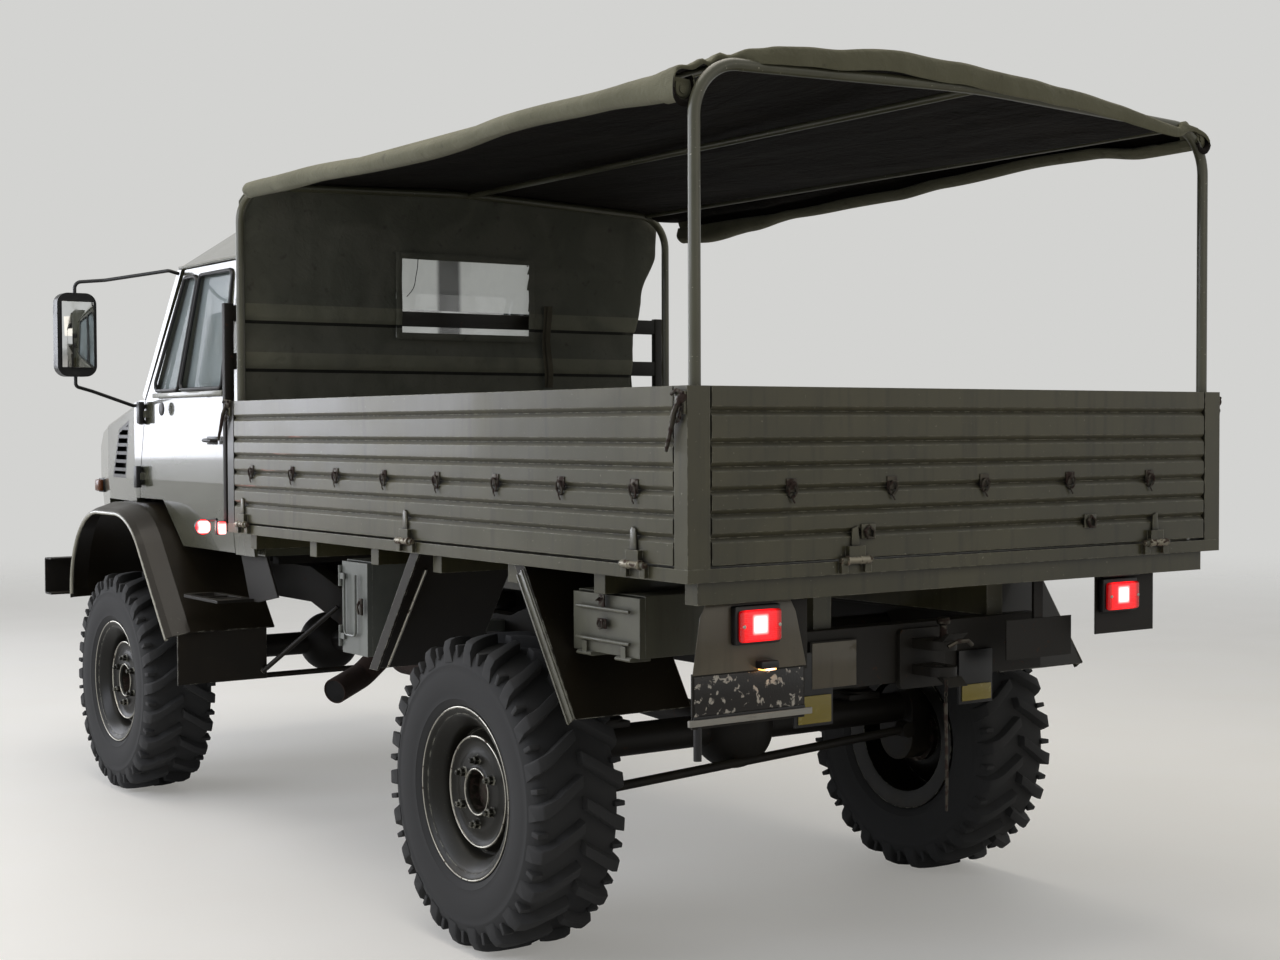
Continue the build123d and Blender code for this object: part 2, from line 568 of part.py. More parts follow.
# Steps under the doors: a slanted hanger with a tread that reaches forward
STEP_X = 1048.0
with BuildPart() as cab_steps:
    side_profile([(-690, CAB_FLOOR_Z - 0.3), (-430, CAB_FLOOR_Z - 0.3), (-318, 979), (-520, 945), (-600, 945)],
                 (STEP_X - 168, STEP_X - 160))
    block((STEP_X - 168, STEP_X), (-980, -560), (945, 957))
    fillet(cab_steps.edges().filter_by(Axis.Z).group_by(Axis.Y)[0], 60)
    block((STEP_X - 140, STEP_X - 28), (-940, -640), (944, 958), mode=Mode.SUBTRACT)
    for y in (-800, -700):
        block((STEP_X - 141, STEP_X - 27), (y - 8, y + 8), (947, 955))
    mirror(about=Plane.YZ)
write(cab_steps.part, "cab_steps")

# Rear mudguards: slanted flaps before and behind the wheels
flap_lines = (
    # (side of the axle, near distance, far distance, foot height)
    (1, 360, 640, 820),
    (-1, 346, 657, 830),
)
with BuildPart() as rear_mudguards:
    for way, near, far, foot in flap_lines:
        head = (REAR_AXLE_Y + way * near, SIDE_RAIL_BOTTOM_Z - 0.3)
        end = (REAR_AXLE_Y + way * far, foot)
        side_profile([head, end, (end[0] + way * 8, end[1]), (head[0] + way * 8, head[1])], (660, 1078))
        side_profile([(head[0] - way * 50, head[1]), (end[0] - way * 50, end[1]), end, head], (1070, 1078))
    mirror(about=Plane.YZ)
write(rear_mudguards.part, "rear_mudguards")

# Tow hitch: jaw plates with a vertical pin bore on the rear crossmember
HITCH_PIN_RADIUS = 20.0
JAW_Z = (905.0, 935.0, 985.0, 1015.0)
HITCH_Y = FRAME_REAR_Y + 110
with BuildPart() as tow_hitch:
    block((-95, 95), (FRAME_REAR_Y + 12, FRAME_REAR_Y + 30), (JAW_Z[0] - 45, JAW_Z[3] + 30))
    fillet(tow_hitch.edges().filter_by(Axis.Y), 18)
    for low, high, lip in ((JAW_Z[0], JAW_Z[1], -26), (JAW_Z[2], JAW_Z[3], 26)):
        block((-48, 48), (FRAME_REAR_Y + 30, HITCH_Y), (low, high))
        bar_z(48, 0, HITCH_Y, (low, high))
        base = low if lip < 0 else high
        side_profile([(HITCH_Y + 20, base), (HITCH_Y + 46, base), (HITCH_Y + 74, base + lip), (HITCH_Y + 62, base + lip)],
                     (-40, 40))
    bar_z(HITCH_PIN_RADIUS, 0, HITCH_Y, (JAW_Z[0] - 1, JAW_Z[3] + 1), mode=Mode.SUBTRACT)
write(tow_hitch.part, "tow_hitch")

# Brackets under the bed's rear edge, with the blank plate on the left
LAMP_Y = 2667.7
with BuildPart() as rear_lamp_bar:
    block((612, 966), (LAMP_Y, LAMP_Y + 4), (985, BEARER_BOTTOM_Z + 20))
    block((627, 1021), (LAMP_Y + 4, LAMP_Y + 10), (850, 1000))
    block((-870, -590), (LAMP_Y, LAMP_Y + 4), (1000, BEARER_BOTTOM_Z + 20))
    block((-545, -250), (LAMP_Y - 60, LAMP_Y - 56), (935, 1060))
    block((-418, -378), (LAMP_Y - 70, LAMP_Y - 60), (950, DECK_Z - 25.3))
    block((265, 448), (FRAME_REAR_Y + 12, FRAME_REAR_Y + 24), (885, 1030))
write(rear_lamp_bar.part, "rear_lamp_bar")

# Red lamps at the rear, and a square and a round one on the rack's posts
with BuildPart() as tail_lamps:
    for middle in (770, -720):
        block((middle - 110, middle + 110), (LAMP_Y + 4, LAMP_Y + 50), (1065, 1160))
    bar_y(32, 1130, (-520, -480), 1268)
    rod((1130, -490, 1268), (1105, RACK_Y, 1268), 9)
    block((RACK_X + RACK_POST / 2 + 0.3, RACK_X + RACK_POST / 2 + 36), (RACK_Y - 25, RACK_Y + 25), (1238, 1298))
    bar_y(32, -1130, (-520, -480), 1268)
    rod((-1130, -490, 1268), (-1105, RACK_Y, 1268), 9)
    block((-RACK_X - RACK_POST / 2 - 36, -RACK_X - RACK_POST / 2 - 0.3), (RACK_Y - 25, RACK_Y + 25), (1238, 1298))
write(tail_lamps.part, "tail_lamps")

# Cab floor with toe board and engine cover
floor_profile = [
    (CAB_REAR_Y, CAB_FLOOR_Z), (-1230, CAB_FLOOR_Z), (-1425, 1345), (-1707, 1345),
    (-1707, 1375), (-1412, 1375), (-1217, CAB_FLOOR_Z + 30), (CAB_REAR_Y, CAB_FLOOR_Z + 30),
]
FLOOR_HALF_WIDTH = CAB_HALF_WIDTH - LOWER_TUCK - PANEL - DOOR_GAP
with BuildPart() as cab_floor:
    side_profile(floor_profile, (-FLOOR_HALF_WIDTH, FLOOR_HALF_WIDTH))
    block((-250, 250), (-1440, -800), (CAB_FLOOR_Z + 30, 1500))
    block((-230, 230), (-1428, -830), (CAB_FLOOR_Z - 1, 1470), mode=Mode.SUBTRACT)
    block((-230, 230), (-1441, -1427), (CAB_FLOOR_Z, 1345), mode=Mode.SUBTRACT)
write(cab_floor.part, "cab_floor")


def side_line(inset):
    """Left side of the cab seen from the front, from its foot to the eaves, moved inwards."""
    return [
        (CAB_HALF_WIDTH - LOWER_TUCK - inset, CAB_FLOOR_Z), (CAB_HALF_WIDTH - inset, CREASE_Z),
        (CAB_HALF_WIDTH - inset, BELT_Z), (EAVE_HALF_WIDTH - inset, EAVE_Z),
    ]


def cab_section(inset):
    """Front view of the cab between its two side lines."""
    left = side_line(inset)
    return left + [(-x, z) for x, z in reversed(left)]


def side_wall(outer, inner):
    """Front view of the cab's left wall between two depths."""
    return side_line(outer) + side_line(inner)[::-1]


# Cab rear wall with its side returns and rear window
REAR_WINDOW = dict(x=560.0, z=(1900.0, 2260.0))
with BuildPart() as cab_back:
    cross_profile(cab_section(0), (DOOR_REAR_Y, CAB_REAR_Y))
    cross_profile(cab_section(PANEL), (DOOR_REAR_Y - 1, CAB_REAR_Y - PANEL), mode=Mode.SUBTRACT)
    block((-REAR_WINDOW["x"], REAR_WINDOW["x"]), (CAB_REAR_Y - PANEL - 1, CAB_REAR_Y + 1), REAR_WINDOW["z"],
          mode=Mode.SUBTRACT)
    block((-CAB_HALF_WIDTH + PANEL, CAB_HALF_WIDTH - PANEL), (DOOR_REAR_Y - 1, CAB_REAR_Y + 1),
          (CAB_FLOOR_Z - 1, CAB_FLOOR_Z + 31), mode=Mode.SUBTRACT)
write(cab_back.part, "cab_back")

# Roof: an eaves rim rising to a raised crown
ROOF_MIDDLE_Y = (CAB_REAR_Y + PILLAR_TOP_Y - 40) / 2
ROOF_RUN = CAB_REAR_Y - PILLAR_TOP_Y + 40
with BuildPart() as cab_roof:
    with BuildSketch(Plane.XY.offset(EAVE_Z)):
        with Locations((0, ROOF_MIDDLE_Y)):
            Rectangle(2 * EAVE_HALF_WIDTH + 30, ROOF_RUN)
    with BuildSketch(Plane.XY.offset(ROOF_CROWN_Z)):
        with Locations((0, ROOF_MIDDLE_Y + 50)):
            Rectangle(2 * EAVE_HALF_WIDTH - 420, ROOF_RUN - 220)
    loft()
    with BuildSketch(Plane.XY.offset(EAVE_Z), mode=Mode.PRIVATE) as hollow_foot:
        with Locations((0, ROOF_MIDDLE_Y)):
            Rectangle(2 * EAVE_HALF_WIDTH - 60, ROOF_RUN - 90)
    with BuildSketch(Plane.XY.offset(ROOF_CROWN_Z - 30), mode=Mode.PRIVATE) as hollow_head:
        with Locations((0, ROOF_MIDDLE_Y + 50)):
            Rectangle(2 * EAVE_HALF_WIDTH - 460, ROOF_RUN - 260)
    loft([hollow_foot.sketch.faces()[0], hollow_head.sketch.faces()[0]], mode=Mode.SUBTRACT)
write(cab_roof.part, "cab_roof")


def hinge_line_y(z):
    """Y of the door's slanted front edge at a height."""
    slope = (HINGE_HEAD_Y - HINGE_FOOT_Y) / (HINGE_HEAD_Z - HINGE_FOOT_Z)
    return HINGE_FOOT_Y + (z - HINGE_FOOT_Z) * slope


# Windscreen frame and scuttle
SCREEN_FOOT = (hinge_line_y(BELT_Z) - 10, BELT_Z)
SCREEN_HEAD = (PILLAR_TOP_Y - 34, EAVE_Z)
SCREEN_RUN = hypot(SCREEN_HEAD[0] - SCREEN_FOOT[0], SCREEN_HEAD[1] - SCREEN_FOOT[1])
SCREEN_Y = (SCREEN_HEAD[0] - SCREEN_FOOT[0]) / SCREEN_RUN
SCREEN_Z = (SCREEN_HEAD[1] - SCREEN_FOOT[1]) / SCREEN_RUN
SCREEN_PLANE = Plane(origin=(0, SCREEN_FOOT[0], SCREEN_FOOT[1]), x_dir=(1, 0, 0), z_dir=(0, -SCREEN_Z, SCREEN_Y))
SCREEN_RIM = 70.0
screen_hole = [
    (-CAB_HALF_WIDTH + SCREEN_RIM, SCREEN_RIM), (CAB_HALF_WIDTH - SCREEN_RIM, SCREEN_RIM),
    (EAVE_HALF_WIDTH - SCREEN_RIM + 10, SCREEN_RUN - SCREEN_RIM),
    (-EAVE_HALF_WIDTH + SCREEN_RIM - 10, SCREEN_RUN - SCREEN_RIM),
]
DOOR_FOOT_Z = 1345.0
DOOR_HINGE_ZS = (HINGE_FOOT_Z, HINGE_HEAD_Z - 30)
DOOR_HINGE_X = CAB_HALF_WIDTH + 16
DOOR_AXIS = (0, HINGE_HEAD_Y - HINGE_FOOT_Y, HINGE_HEAD_Z - HINGE_FOOT_Z)
BONNET_HINGE_XS = (-450.0, 450.0)
BONNET_HINGE_Y = -1764.0
BONNET_HINGE_Z = 1797.0
with BuildPart() as cab_front:
    with BuildSketch(SCREEN_PLANE) as screen_frame:
        Polygon((-CAB_HALF_WIDTH, 0), (CAB_HALF_WIDTH, 0), (EAVE_HALF_WIDTH, SCREEN_RUN),
                (-EAVE_HALF_WIDTH, SCREEN_RUN), align=None)
        Polygon(*screen_hole, align=None, mode=Mode.SUBTRACT)
    extrude(screen_frame.sketch, amount=PANEL)
    foot_y = hinge_line_y(DOOR_FOOT_Z)
    side_profile([(foot_y, DOOR_FOOT_Z), (hinge_line_y(BELT_Z), BELT_Z), (hinge_line_y(BELT_Z) - 60, BELT_Z),
                  (-1760, 1788), (-1760, DOOR_FOOT_Z)], (-CAB_HALF_WIDTH, CAB_HALF_WIDTH))
    side_profile([(foot_y - PANEL, DOOR_FOOT_Z - 1), (hinge_line_y(BELT_Z) - PANEL, BELT_Z - PANEL),
                  (-1761, BELT_Z - PANEL - 12), (-1761, DOOR_FOOT_Z - 1)],
                 (-CAB_HALF_WIDTH + PANEL, CAB_HALF_WIDTH - PANEL), mode=Mode.SUBTRACT)
    cross_profile(cab_section(0), (-1800, -1000), mode=Mode.INTERSECT)
    for side in (1, -1):
        for z in DOOR_HINGE_ZS:
            hinge = (side * DOOR_HINGE_X, hinge_line_y(z) + DOOR_GAP / 2, z)
            fixed_knuckles(hinge, DOOR_AXIS, 20, 12, 5)
            for foot in (-44, 26):
                flap = hinge_line_y(z + foot)
                near, far = sorted((side * (CAB_HALF_WIDTH - 5), side * DOOR_HINGE_X))
                block((near, far), (flap - 45, flap + 2), (z + foot, z + foot + 18))
    for x in BONNET_HINGE_XS:
        fixed_knuckles((x, BONNET_HINGE_Y, BONNET_HINGE_Z), (1, 0, 0), 20, 6, 3)
        for near in (22, -46):
            block((x + near, x + near + 24), (BONNET_HINGE_Y, BONNET_HINGE_Y + 40), (1786, BONNET_HINGE_Z))
write(cab_front.part, "cab_front")

# Nose: tapered shell with a cut for the bonnet, the grille and the headlamps
nose_plan = [
    (-CAB_HALF_WIDTH, -1700), (-CAB_HALF_WIDTH, -1760), (-900, -2300), (-NOSE_HALF_WIDTH, NOSE_Y + 60),
    (-NOSE_HALF_WIDTH + 70, NOSE_Y), (NOSE_HALF_WIDTH - 70, NOSE_Y), (NOSE_HALF_WIDTH, NOSE_Y + 60), (900, -2300),
    (CAB_HALF_WIDTH, -1760), (CAB_HALF_WIDTH, -1700),
]
NOSE_FOOT_Z = 1280.0 + WING_CROWN + 0.3
nose_side = [
    (-1760, NOSE_FOOT_Z), (-1760, 1788), (-2480, NOSE_TOP_Z + 30), (-2590, NOSE_TOP_Z - 40), (NOSE_Y, NOSE_TOP_Z - 160),
    (NOSE_Y, 1040), (-2330, 1040), (-2330, NOSE_FOOT_Z),
]
inner_side = [
    (-1759, NOSE_FOOT_Z - 1), (-1759, 1788 - PANEL), (-2465, NOSE_TOP_Z + 30 - PANEL), (-2560, NOSE_TOP_Z - 60 - PANEL),
    (NOSE_Y + PANEL, NOSE_TOP_Z - 170), (NOSE_Y + PANEL, 1039), (-2329, 1039), (-2329, NOSE_FOOT_Z - 1),
]
BONNET = dict(x=700.0, rear=-1768.0, front=-2530.0)


def nose_solid(plan, side):
    """The nose's outer or inner form: its plan, tucked in below the crease, crossed with its side outline."""
    with BuildPart() as form:
        for height, lean in ((500, 0), (-500, NOSE_LEAN)):
            with BuildSketch(Plane.XY.offset(CREASE_Z)) as outline:
                Polygon(*plan, align=None)
            extrude(outline.sketch, amount=height, taper=lean)
        with BuildSketch(side_plane(-1200)) as outline:
            Polygon(*side, align=None)
        extrude(outline.sketch, amount=2400, mode=Mode.INTERSECT)
    return form.part


inner_plan = [(x - (PANEL if x > 0 else -PANEL), y + (PANEL if y < -2600 else 0)) for x, y in nose_plan]
inner_plan[0] = (inner_plan[0][0], -1700)
inner_plan[-1] = (inner_plan[-1][0], -1700)
NOSE_LEAN = degrees(atan2(LOWER_TUCK, CREASE_Z - CAB_FLOOR_Z))
outer_nose = nose_solid(nose_plan, nose_side)
with BuildPart() as rounded_nose:
    add(outer_nose)
    top_edges = rounded_nose.edges().filter_by(lambda e: e.center().Z > NOSE_TOP_Z - 60 and e.center().Y < -1800)
    fillet(top_edges.filter_by(lambda e: abs(e.center().X) > 500), NOSE_ROUND)
nose_shell = rounded_nose.part - nose_solid(inner_plan, inner_side)
GRILLE = dict(x=440.0, z=(1130.0, 1440.0))
vent_outline = [
    # (Y, Z) corners of the side vent
    (-1856, 1710), (-2065, 1663), (-2202, 1434), (-1933, 1434),
]
VENT_SLATS = 7
VENT_FRAME = 16.0
with BuildPart() as nose_panel:
    add(nose_shell)
    block((-BONNET["x"], BONNET["x"]), (BONNET["front"], -1750), (1560, 1900), mode=Mode.SUBTRACT)
    front_wall = (NOSE_Y - 1, NOSE_Y + PANEL + LOWER_TUCK + 20)
    block((-GRILLE["x"], GRILLE["x"]), front_wall, GRILLE["z"], mode=Mode.SUBTRACT)
    side_profile(vent_outline, (-1000, 1000), mode=Mode.SUBTRACT)
    for side in (1, -1):
        bar_y(LAMP_BOWL_RADIUS, side * HEADLAMP_X, front_wall, HEADLAMP_Z, mode=Mode.SUBTRACT)
write(nose_panel.part, "nose_panel")

with BuildPart() as side_vents:
    add(nose_shell)
    with BuildSketch(side_plane(-1000)) as outline:
        Polygon(*vent_outline, align=None)
        offset(amount=-0.3, kind=Kind.INTERSECTION)
    extrude(outline.sketch, amount=2000, mode=Mode.INTERSECT)
    with BuildSketch(side_plane(-1000)) as gaps:
        Polygon(*vent_outline, align=None)
        offset(amount=-VENT_FRAME, kind=Kind.INTERSECTION)
        pitch = (vent_outline[0][1] - vent_outline[3][1]) / VENT_SLATS
        for slat in range(VENT_SLATS):
            with Locations((-2030, vent_outline[3][1] + slat * pitch)):
                Rectangle(600, pitch * 0.4, mode=Mode.SUBTRACT)
    extrude(gaps.sketch, amount=2000, mode=Mode.SUBTRACT)
write(side_vents.part, "side_vents")

with BuildPart() as bonnet:
    add(nose_shell)
    block((-BONNET["x"] + DOOR_GAP, BONNET["x"] - DOOR_GAP), (BONNET["front"] + DOOR_GAP, BONNET["rear"]),
          (1560, 1900), mode=Mode.INTERSECT)
    for x in BONNET_HINGE_XS:
        moving_knuckle((x, BONNET_HINGE_Y, BONNET_HINGE_Z), (1, 0, 0), 20, 6, 3)
        block((x - 20, x + 20), (BONNET_HINGE_Y - 50, BONNET_HINGE_Y - 5), (1780, BONNET_HINGE_Z))
write(bonnet.part, "bonnet")

GRILLE_ROWS = 6
GRILLE_SLAT = 20.0
with BuildPart() as grille:
    block((-GRILLE["x"] + 0.3, GRILLE["x"] - 0.3), (NOSE_Y + 8, NOSE_Y + 28),
          (GRILLE["z"][0] + 0.3, GRILLE["z"][1] - 0.3))
    pitch = (GRILLE["z"][1] - GRILLE["z"][0] - GRILLE_SLAT) / GRILLE_ROWS
    for row in range(GRILLE_ROWS):
        low = GRILLE["z"][0] + GRILLE_SLAT + row * pitch
        for middle in (GRILLE["x"] / 2, -GRILLE["x"] / 2):
            block((middle - 200, middle + 200), (NOSE_Y + 7, NOSE_Y + 29), (low, low + pitch - GRILLE_SLAT),
                  mode=Mode.SUBTRACT)
write(grille.part, "grille")

# Headlamps: bowls behind domed lenses in the nose panel, and an indicator at each front corner
with BuildPart() as headlamp:
    with BuildSketch(Plane.XY):
        with BuildLine():
            Polyline((0, NOSE_Y - 34), (0, NOSE_Y + 70), (60, NOSE_Y + 60), (LAMP_BOWL_RADIUS - 0.3, NOSE_Y + 14),
                     (LAMP_BOWL_RADIUS - 0.3, NOSE_Y - 14))
            TangentArc((0, NOSE_Y - 34), (LAMP_BOWL_RADIUS - 0.3, NOSE_Y - 14), tangent=(1, 0))
        make_face()
    revolve(axis=Axis.Y)
with BuildPart() as front_lamps:
    with Locations((858, -2520, 1385)):
        Box(50, 80, 70)
    fillet(front_lamps.faces().sort_by(Axis.X)[-1].edges(), 10)
    add(outer_nose, mode=Mode.SUBTRACT)
    add(Pos(HEADLAMP_X, 0, HEADLAMP_Z) * headlamp.part)
    mirror(about=Plane.YZ)
write(front_lamps.part, "front_lamps")

# Doors cut from the side wall with a quarter and a main pane, hung on slanted hinges
DOOR_BACK = DOOR_REAR_Y - DOOR_GAP
door_outline = [
    (hinge_line_y(DOOR_FOOT_Z) + DOOR_GAP, DOOR_FOOT_Z + 2), (-1420, DOOR_FOOT_Z + 2), (-1222, CAB_FLOOR_Z + 6),
    (DOOR_BACK, CAB_FLOOR_Z + 6), (DOOR_BACK, EAVE_Z - DOOR_GAP), (PILLAR_TOP_Y + 12, EAVE_Z - DOOR_GAP),
    (hinge_line_y(BELT_Z) + DOOR_GAP, BELT_Z),
]
WINDOW_Z = (1838.0, 2337.0)
window_panes = [
    # (Y, Z) corners of the quarter pane, then of the main one
    [(-1484, WINDOW_Z[0]), (-1189, WINDOW_Z[0]), (-1081, WINDOW_Z[1]), (-1232, WINDOW_Z[1])],
    [(-1165, WINDOW_Z[0]), (-690, WINDOW_Z[0]), (-690, WINDOW_Z[1]), (-1057, WINDOW_Z[1])],
]
GLASS = 6.0
with BuildPart() as door:
    cross_profile(side_wall(0, PANEL), (-1800, CAB_REAR_Y))
    side_profile(door_outline, (800, 1000), mode=Mode.INTERSECT)
    for pane in window_panes:
        side_profile(pane, (800, 1000), mode=Mode.SUBTRACT)
    for z in DOOR_HINGE_ZS:
        flap = hinge_line_y(z) + DOOR_GAP / 2
        block((CAB_HALF_WIDTH - 5, DOOR_HINGE_X + 4), (flap + 8, flap + 60), (z - 16, z + 16))
        moving_knuckle((DOOR_HINGE_X, flap, z), DOOR_AXIS, 20, 12, 5)
write(door.part, "door_left")
write(mirror(door.part, about=Plane.YZ), "door_right")

with BuildPart() as door_glass:
    cross_profile(side_wall((PANEL - GLASS) / 2, (PANEL + GLASS) / 2), (-1800, CAB_REAR_Y))
    with BuildSketch(side_plane(800)) as panes:
        for pane in window_panes:
            with BuildSketch(side_plane(800), mode=Mode.PRIVATE) as outline:
                Polygon(*pane, align=None)
                offset(amount=-0.3, kind=Kind.INTERSECTION)
            add(outline.sketch_local)
    extrude(panes.sketch, amount=200, mode=Mode.INTERSECT)
write(door_glass.part, "door_glass_left")
write(mirror(door_glass.part, about=Plane.YZ), "door_glass_right")

# Windscreen and rear window panes
with BuildPart() as cab_glass:
    with BuildSketch(SCREEN_PLANE.offset(PANEL / 2)) as pane:
        Polygon(*screen_hole, align=None)
        offset(amount=-0.3, kind=Kind.INTERSECTION)
    extrude(pane.sketch, amount=GLASS)
    block((-REAR_WINDOW["x"] + 0.3, REAR_WINDOW["x"] - 0.3),
          (CAB_REAR_Y - (PANEL + GLASS) / 2, CAB_REAR_Y - (PANEL - GLASS) / 2),
          (REAR_WINDOW["z"][0] + 0.3, REAR_WINDOW["z"][1] - 0.3))
write(cab_glass.part, "cab_glass")

# Dashboard with steering column and wheel on the left
with BuildPart() as dashboard:
    side_profile([(hinge_line_y(1500) + 0.3, 1500), (hinge_line_y(1780) + 0.3, 1780), (-1400, 1740), (-1330, 1660),
                  (-1400, 1520)], (-900, 900))
    rod((430, -1420, 1600), (430, -1205, 1790), 22)
    with Locations(Plane(origin=(430, -1200, 1795), z_dir=(0, 0.75, 0.66))):
        Torus(205, 13)
        Box(400, 40, 14)
write(dashboard.part, "dashboard")

with BuildPart() as seats:
    for side in (1, -1):
        block((side * 480 - 215, side * 480 + 215), (-1130, -650), (1400, 1500))
        block((side * 480 - 190, side * 480 + 190), (-1080, -680), (CAB_FLOOR_Z + 30, 1400))
        side_profile([(-690, 1500), (-600, 1500), (-520, 2020), (-600, 2020)], (side * 480 - 225, side * 480 + 225))
write(seats.part, "seats")

# Mirrors on bent arms from the pillar's head and the upper hinge
MIRROR_X = 1272.0
MIRROR_Y = -1640.0
with BuildPart() as mirrors:
    with Locations((MIRROR_X, MIRROR_Y, 2092)):
        Box(178, 60, 376)
    fillet(mirrors.edges().filter_by(Axis.Y), 50)
    pipe([(912.5, -1300, 2360), (960, -1300, 2372), (1160, -1560, 2338), (MIRROR_X, MIRROR_Y, 2330),
          (MIRROR_X, MIRROR_Y, 2270)], 8, [15, 80, 30])
    pipe([(CAB_HALF_WIDTH + 0.3, -1690, 1775), (990, -1690, 1775), (1190, -1665, 1840), (MIRROR_X, MIRROR_Y, 1860),
          (MIRROR_X, MIRROR_Y, 1915)], 8, [15, 60, 20])
    mirror(about=Plane.YZ)
write(mirrors.part, "mirrors")

# Bed floor: deck, side rails, cross bearers and two long beams on the frame
BED_MIDDLE_Y = (BED_FRONT_Y + GATE_FACE_Y) / 2
BEARER_YS = (-200.0, 350.0, 850.0, 1300.0, 1780.0, 2260.0, 2700.0)
HINGE_YS = (-159.0, 1198.0, 2524.0)
TAILGATE_HINGE_XS = (515.0, -765.0)
GATE_FRONT_Y = BED_FRONT_Y + POST_DEPTH + GATE_GAP
GATE_REAR_Y = GATE_FACE_Y - POST_DEPTH - GATE_GAP
TAIL_HALF_WIDTH = BED_HALF_WIDTH - POST_WIDTH - GATE_GAP
DECK_BOARD = 6.0
HINGE_X = BED_HALF_WIDTH + HINGE_OFFSET
HINGE_Z = 1292.0
TAIL_HINGE_Y = GATE_FACE_Y + HINGE_OFFSET
with BuildPart() as bed_floor:
    block((-BED_HALF_WIDTH, BED_HALF_WIDTH), (BED_FRONT_Y, GATE_FACE_Y), (DECK_Z - 25, DECK_Z))
    block((-TAIL_HALF_WIDTH, TAIL_HALF_WIDTH), (GATE_FRONT_Y, GATE_REAR_Y), (DECK_Z, DECK_Z + DECK_BOARD))
    block((BED_HALF_WIDTH - 60, BED_HALF_WIDTH), (BED_FRONT_Y, GATE_FACE_Y), (SIDE_RAIL_BOTTOM_Z, DECK_Z - 25))
    block((-BED_HALF_WIDTH, -BED_HALF_WIDTH + 60), (BED_FRONT_Y, GATE_FACE_Y), (SIDE_RAIL_BOTTOM_Z, DECK_Z - 25))
    block((-BED_HALF_WIDTH, BED_HALF_WIDTH), (GATE_FACE_Y - 60, GATE_FACE_Y), (SIDE_RAIL_BOTTOM_Z, DECK_Z - 25))
    block((-BED_HALF_WIDTH, BED_HALF_WIDTH), (BED_FRONT_Y, BED_FRONT_Y + 60), (SIDE_RAIL_BOTTOM_Z, DECK_Z - 25))
    for y in BEARER_YS:
        block((-1040, 1040), (y - 28, y + 28), (BEARER_BOTTOM_Z, DECK_Z - 25))
    for side in (1, -1):
        block((side * 365 - 35, side * 365 + 35), (0, 2450), (RAIL_REAR_Z + RAIL_HEIGHT / 2, BEARER_BOTTOM_Z))
        for y in HINGE_YS:
            fixed_knuckles((side * HINGE_X, y, HINGE_Z), (0, 1, 0), 30, HINGE_RADIUS, 4)
            near, far = sorted((side * BED_HALF_WIDTH, side * HINGE_X))
            for foot in (y - 56, y + 32):
                block((near, far), (foot, foot + 24), (SIDE_RAIL_BOTTOM_Z + 4, HINGE_Z))
    for x in TAILGATE_HINGE_XS:
        fixed_knuckles((x, TAIL_HINGE_Y, HINGE_Z), (1, 0, 0), 30, HINGE_RADIUS, 4)
        for foot in (x - 56, x + 32):
            block((foot, foot + 24), (GATE_FACE_Y, TAIL_HINGE_Y), (SIDE_RAIL_BOTTOM_Z + 4, HINGE_Z))
write(bed_floor.part, "bed_floor")

with BuildPart() as bed_posts:
    for y in (BED_FRONT_Y, GATE_FACE_Y - POST_DEPTH):
        block((BED_HALF_WIDTH - POST_WIDTH, BED_HALF_WIDTH), (y, y + POST_DEPTH), (DECK_Z, GATE_TOP_Z))
    mirror(about=Plane.YZ)
write(bed_posts.part, "bed_posts")


def gate_outline(face, inner):
    """Section of a corrugated gate: flat inside, grooved outside, from foot to top."""
    way = 1 if face > inner else -1
    points = [(inner, GATE_BOTTOM_Z), (face, GATE_BOTTOM_Z)]
    for level in reversed(GROOVE_LEVELS):
        points += [(face, level - GROOVE_HALF_HEIGHT), (face - way * GROOVE_DEPTH, level),
                   (face, level + GROOVE_HALF_HEIGHT)]
    return points + [(face, GATE_TOP_Z), (inner, GATE_TOP_Z)]


with BuildPart() as headboard:
    side_profile(gate_outline(BED_FRONT_Y, BED_FRONT_Y + GATE_WALL),
                 (-BED_HALF_WIDTH + POST_WIDTH, BED_HALF_WIDTH - POST_WIDTH))
    block((-BED_HALF_WIDTH + POST_WIDTH, BED_HALF_WIDTH - POST_WIDTH), (BED_FRONT_Y, BED_FRONT_Y + GATE_WALL),
          (DECK_Z, GATE_BOTTOM_Z))
write(headboard.part, "headboard")

with BuildPart() as side_gate:
    cross_profile(gate_outline(BED_HALF_WIDTH, BED_HALF_WIDTH - GATE_WALL), (GATE_FRONT_Y, GATE_REAR_Y))
    for y in HINGE_YS:
        block((BED_HALF_WIDTH, HINGE_X + 3), (y - 30, y + 30), (HINGE_Z + 6, HINGE_Z + 40))
        moving_knuckle((HINGE_X, y, HINGE_Z), (0, 1, 0), 30, HINGE_RADIUS, 4)
write(side_gate.part, "gate_left")
write(mirror(side_gate.part, about=Plane.YZ), "gate_right")

with BuildPart() as tailgate:
    side_profile(gate_outline(GATE_FACE_Y, GATE_FACE_Y - GATE_WALL), (-TAIL_HALF_WIDTH, TAIL_HALF_WIDTH))
    for x in TAILGATE_HINGE_XS:
        block((x - 30, x + 30), (GATE_FACE_Y, TAIL_HINGE_Y + 3), (HINGE_Z + 6, HINGE_Z + 40))
        moving_knuckle((x, TAIL_HINGE_Y, HINGE_Z), (1, 0, 0), 30, HINGE_RADIUS, 4)
write(tailgate.part, "tailgate")

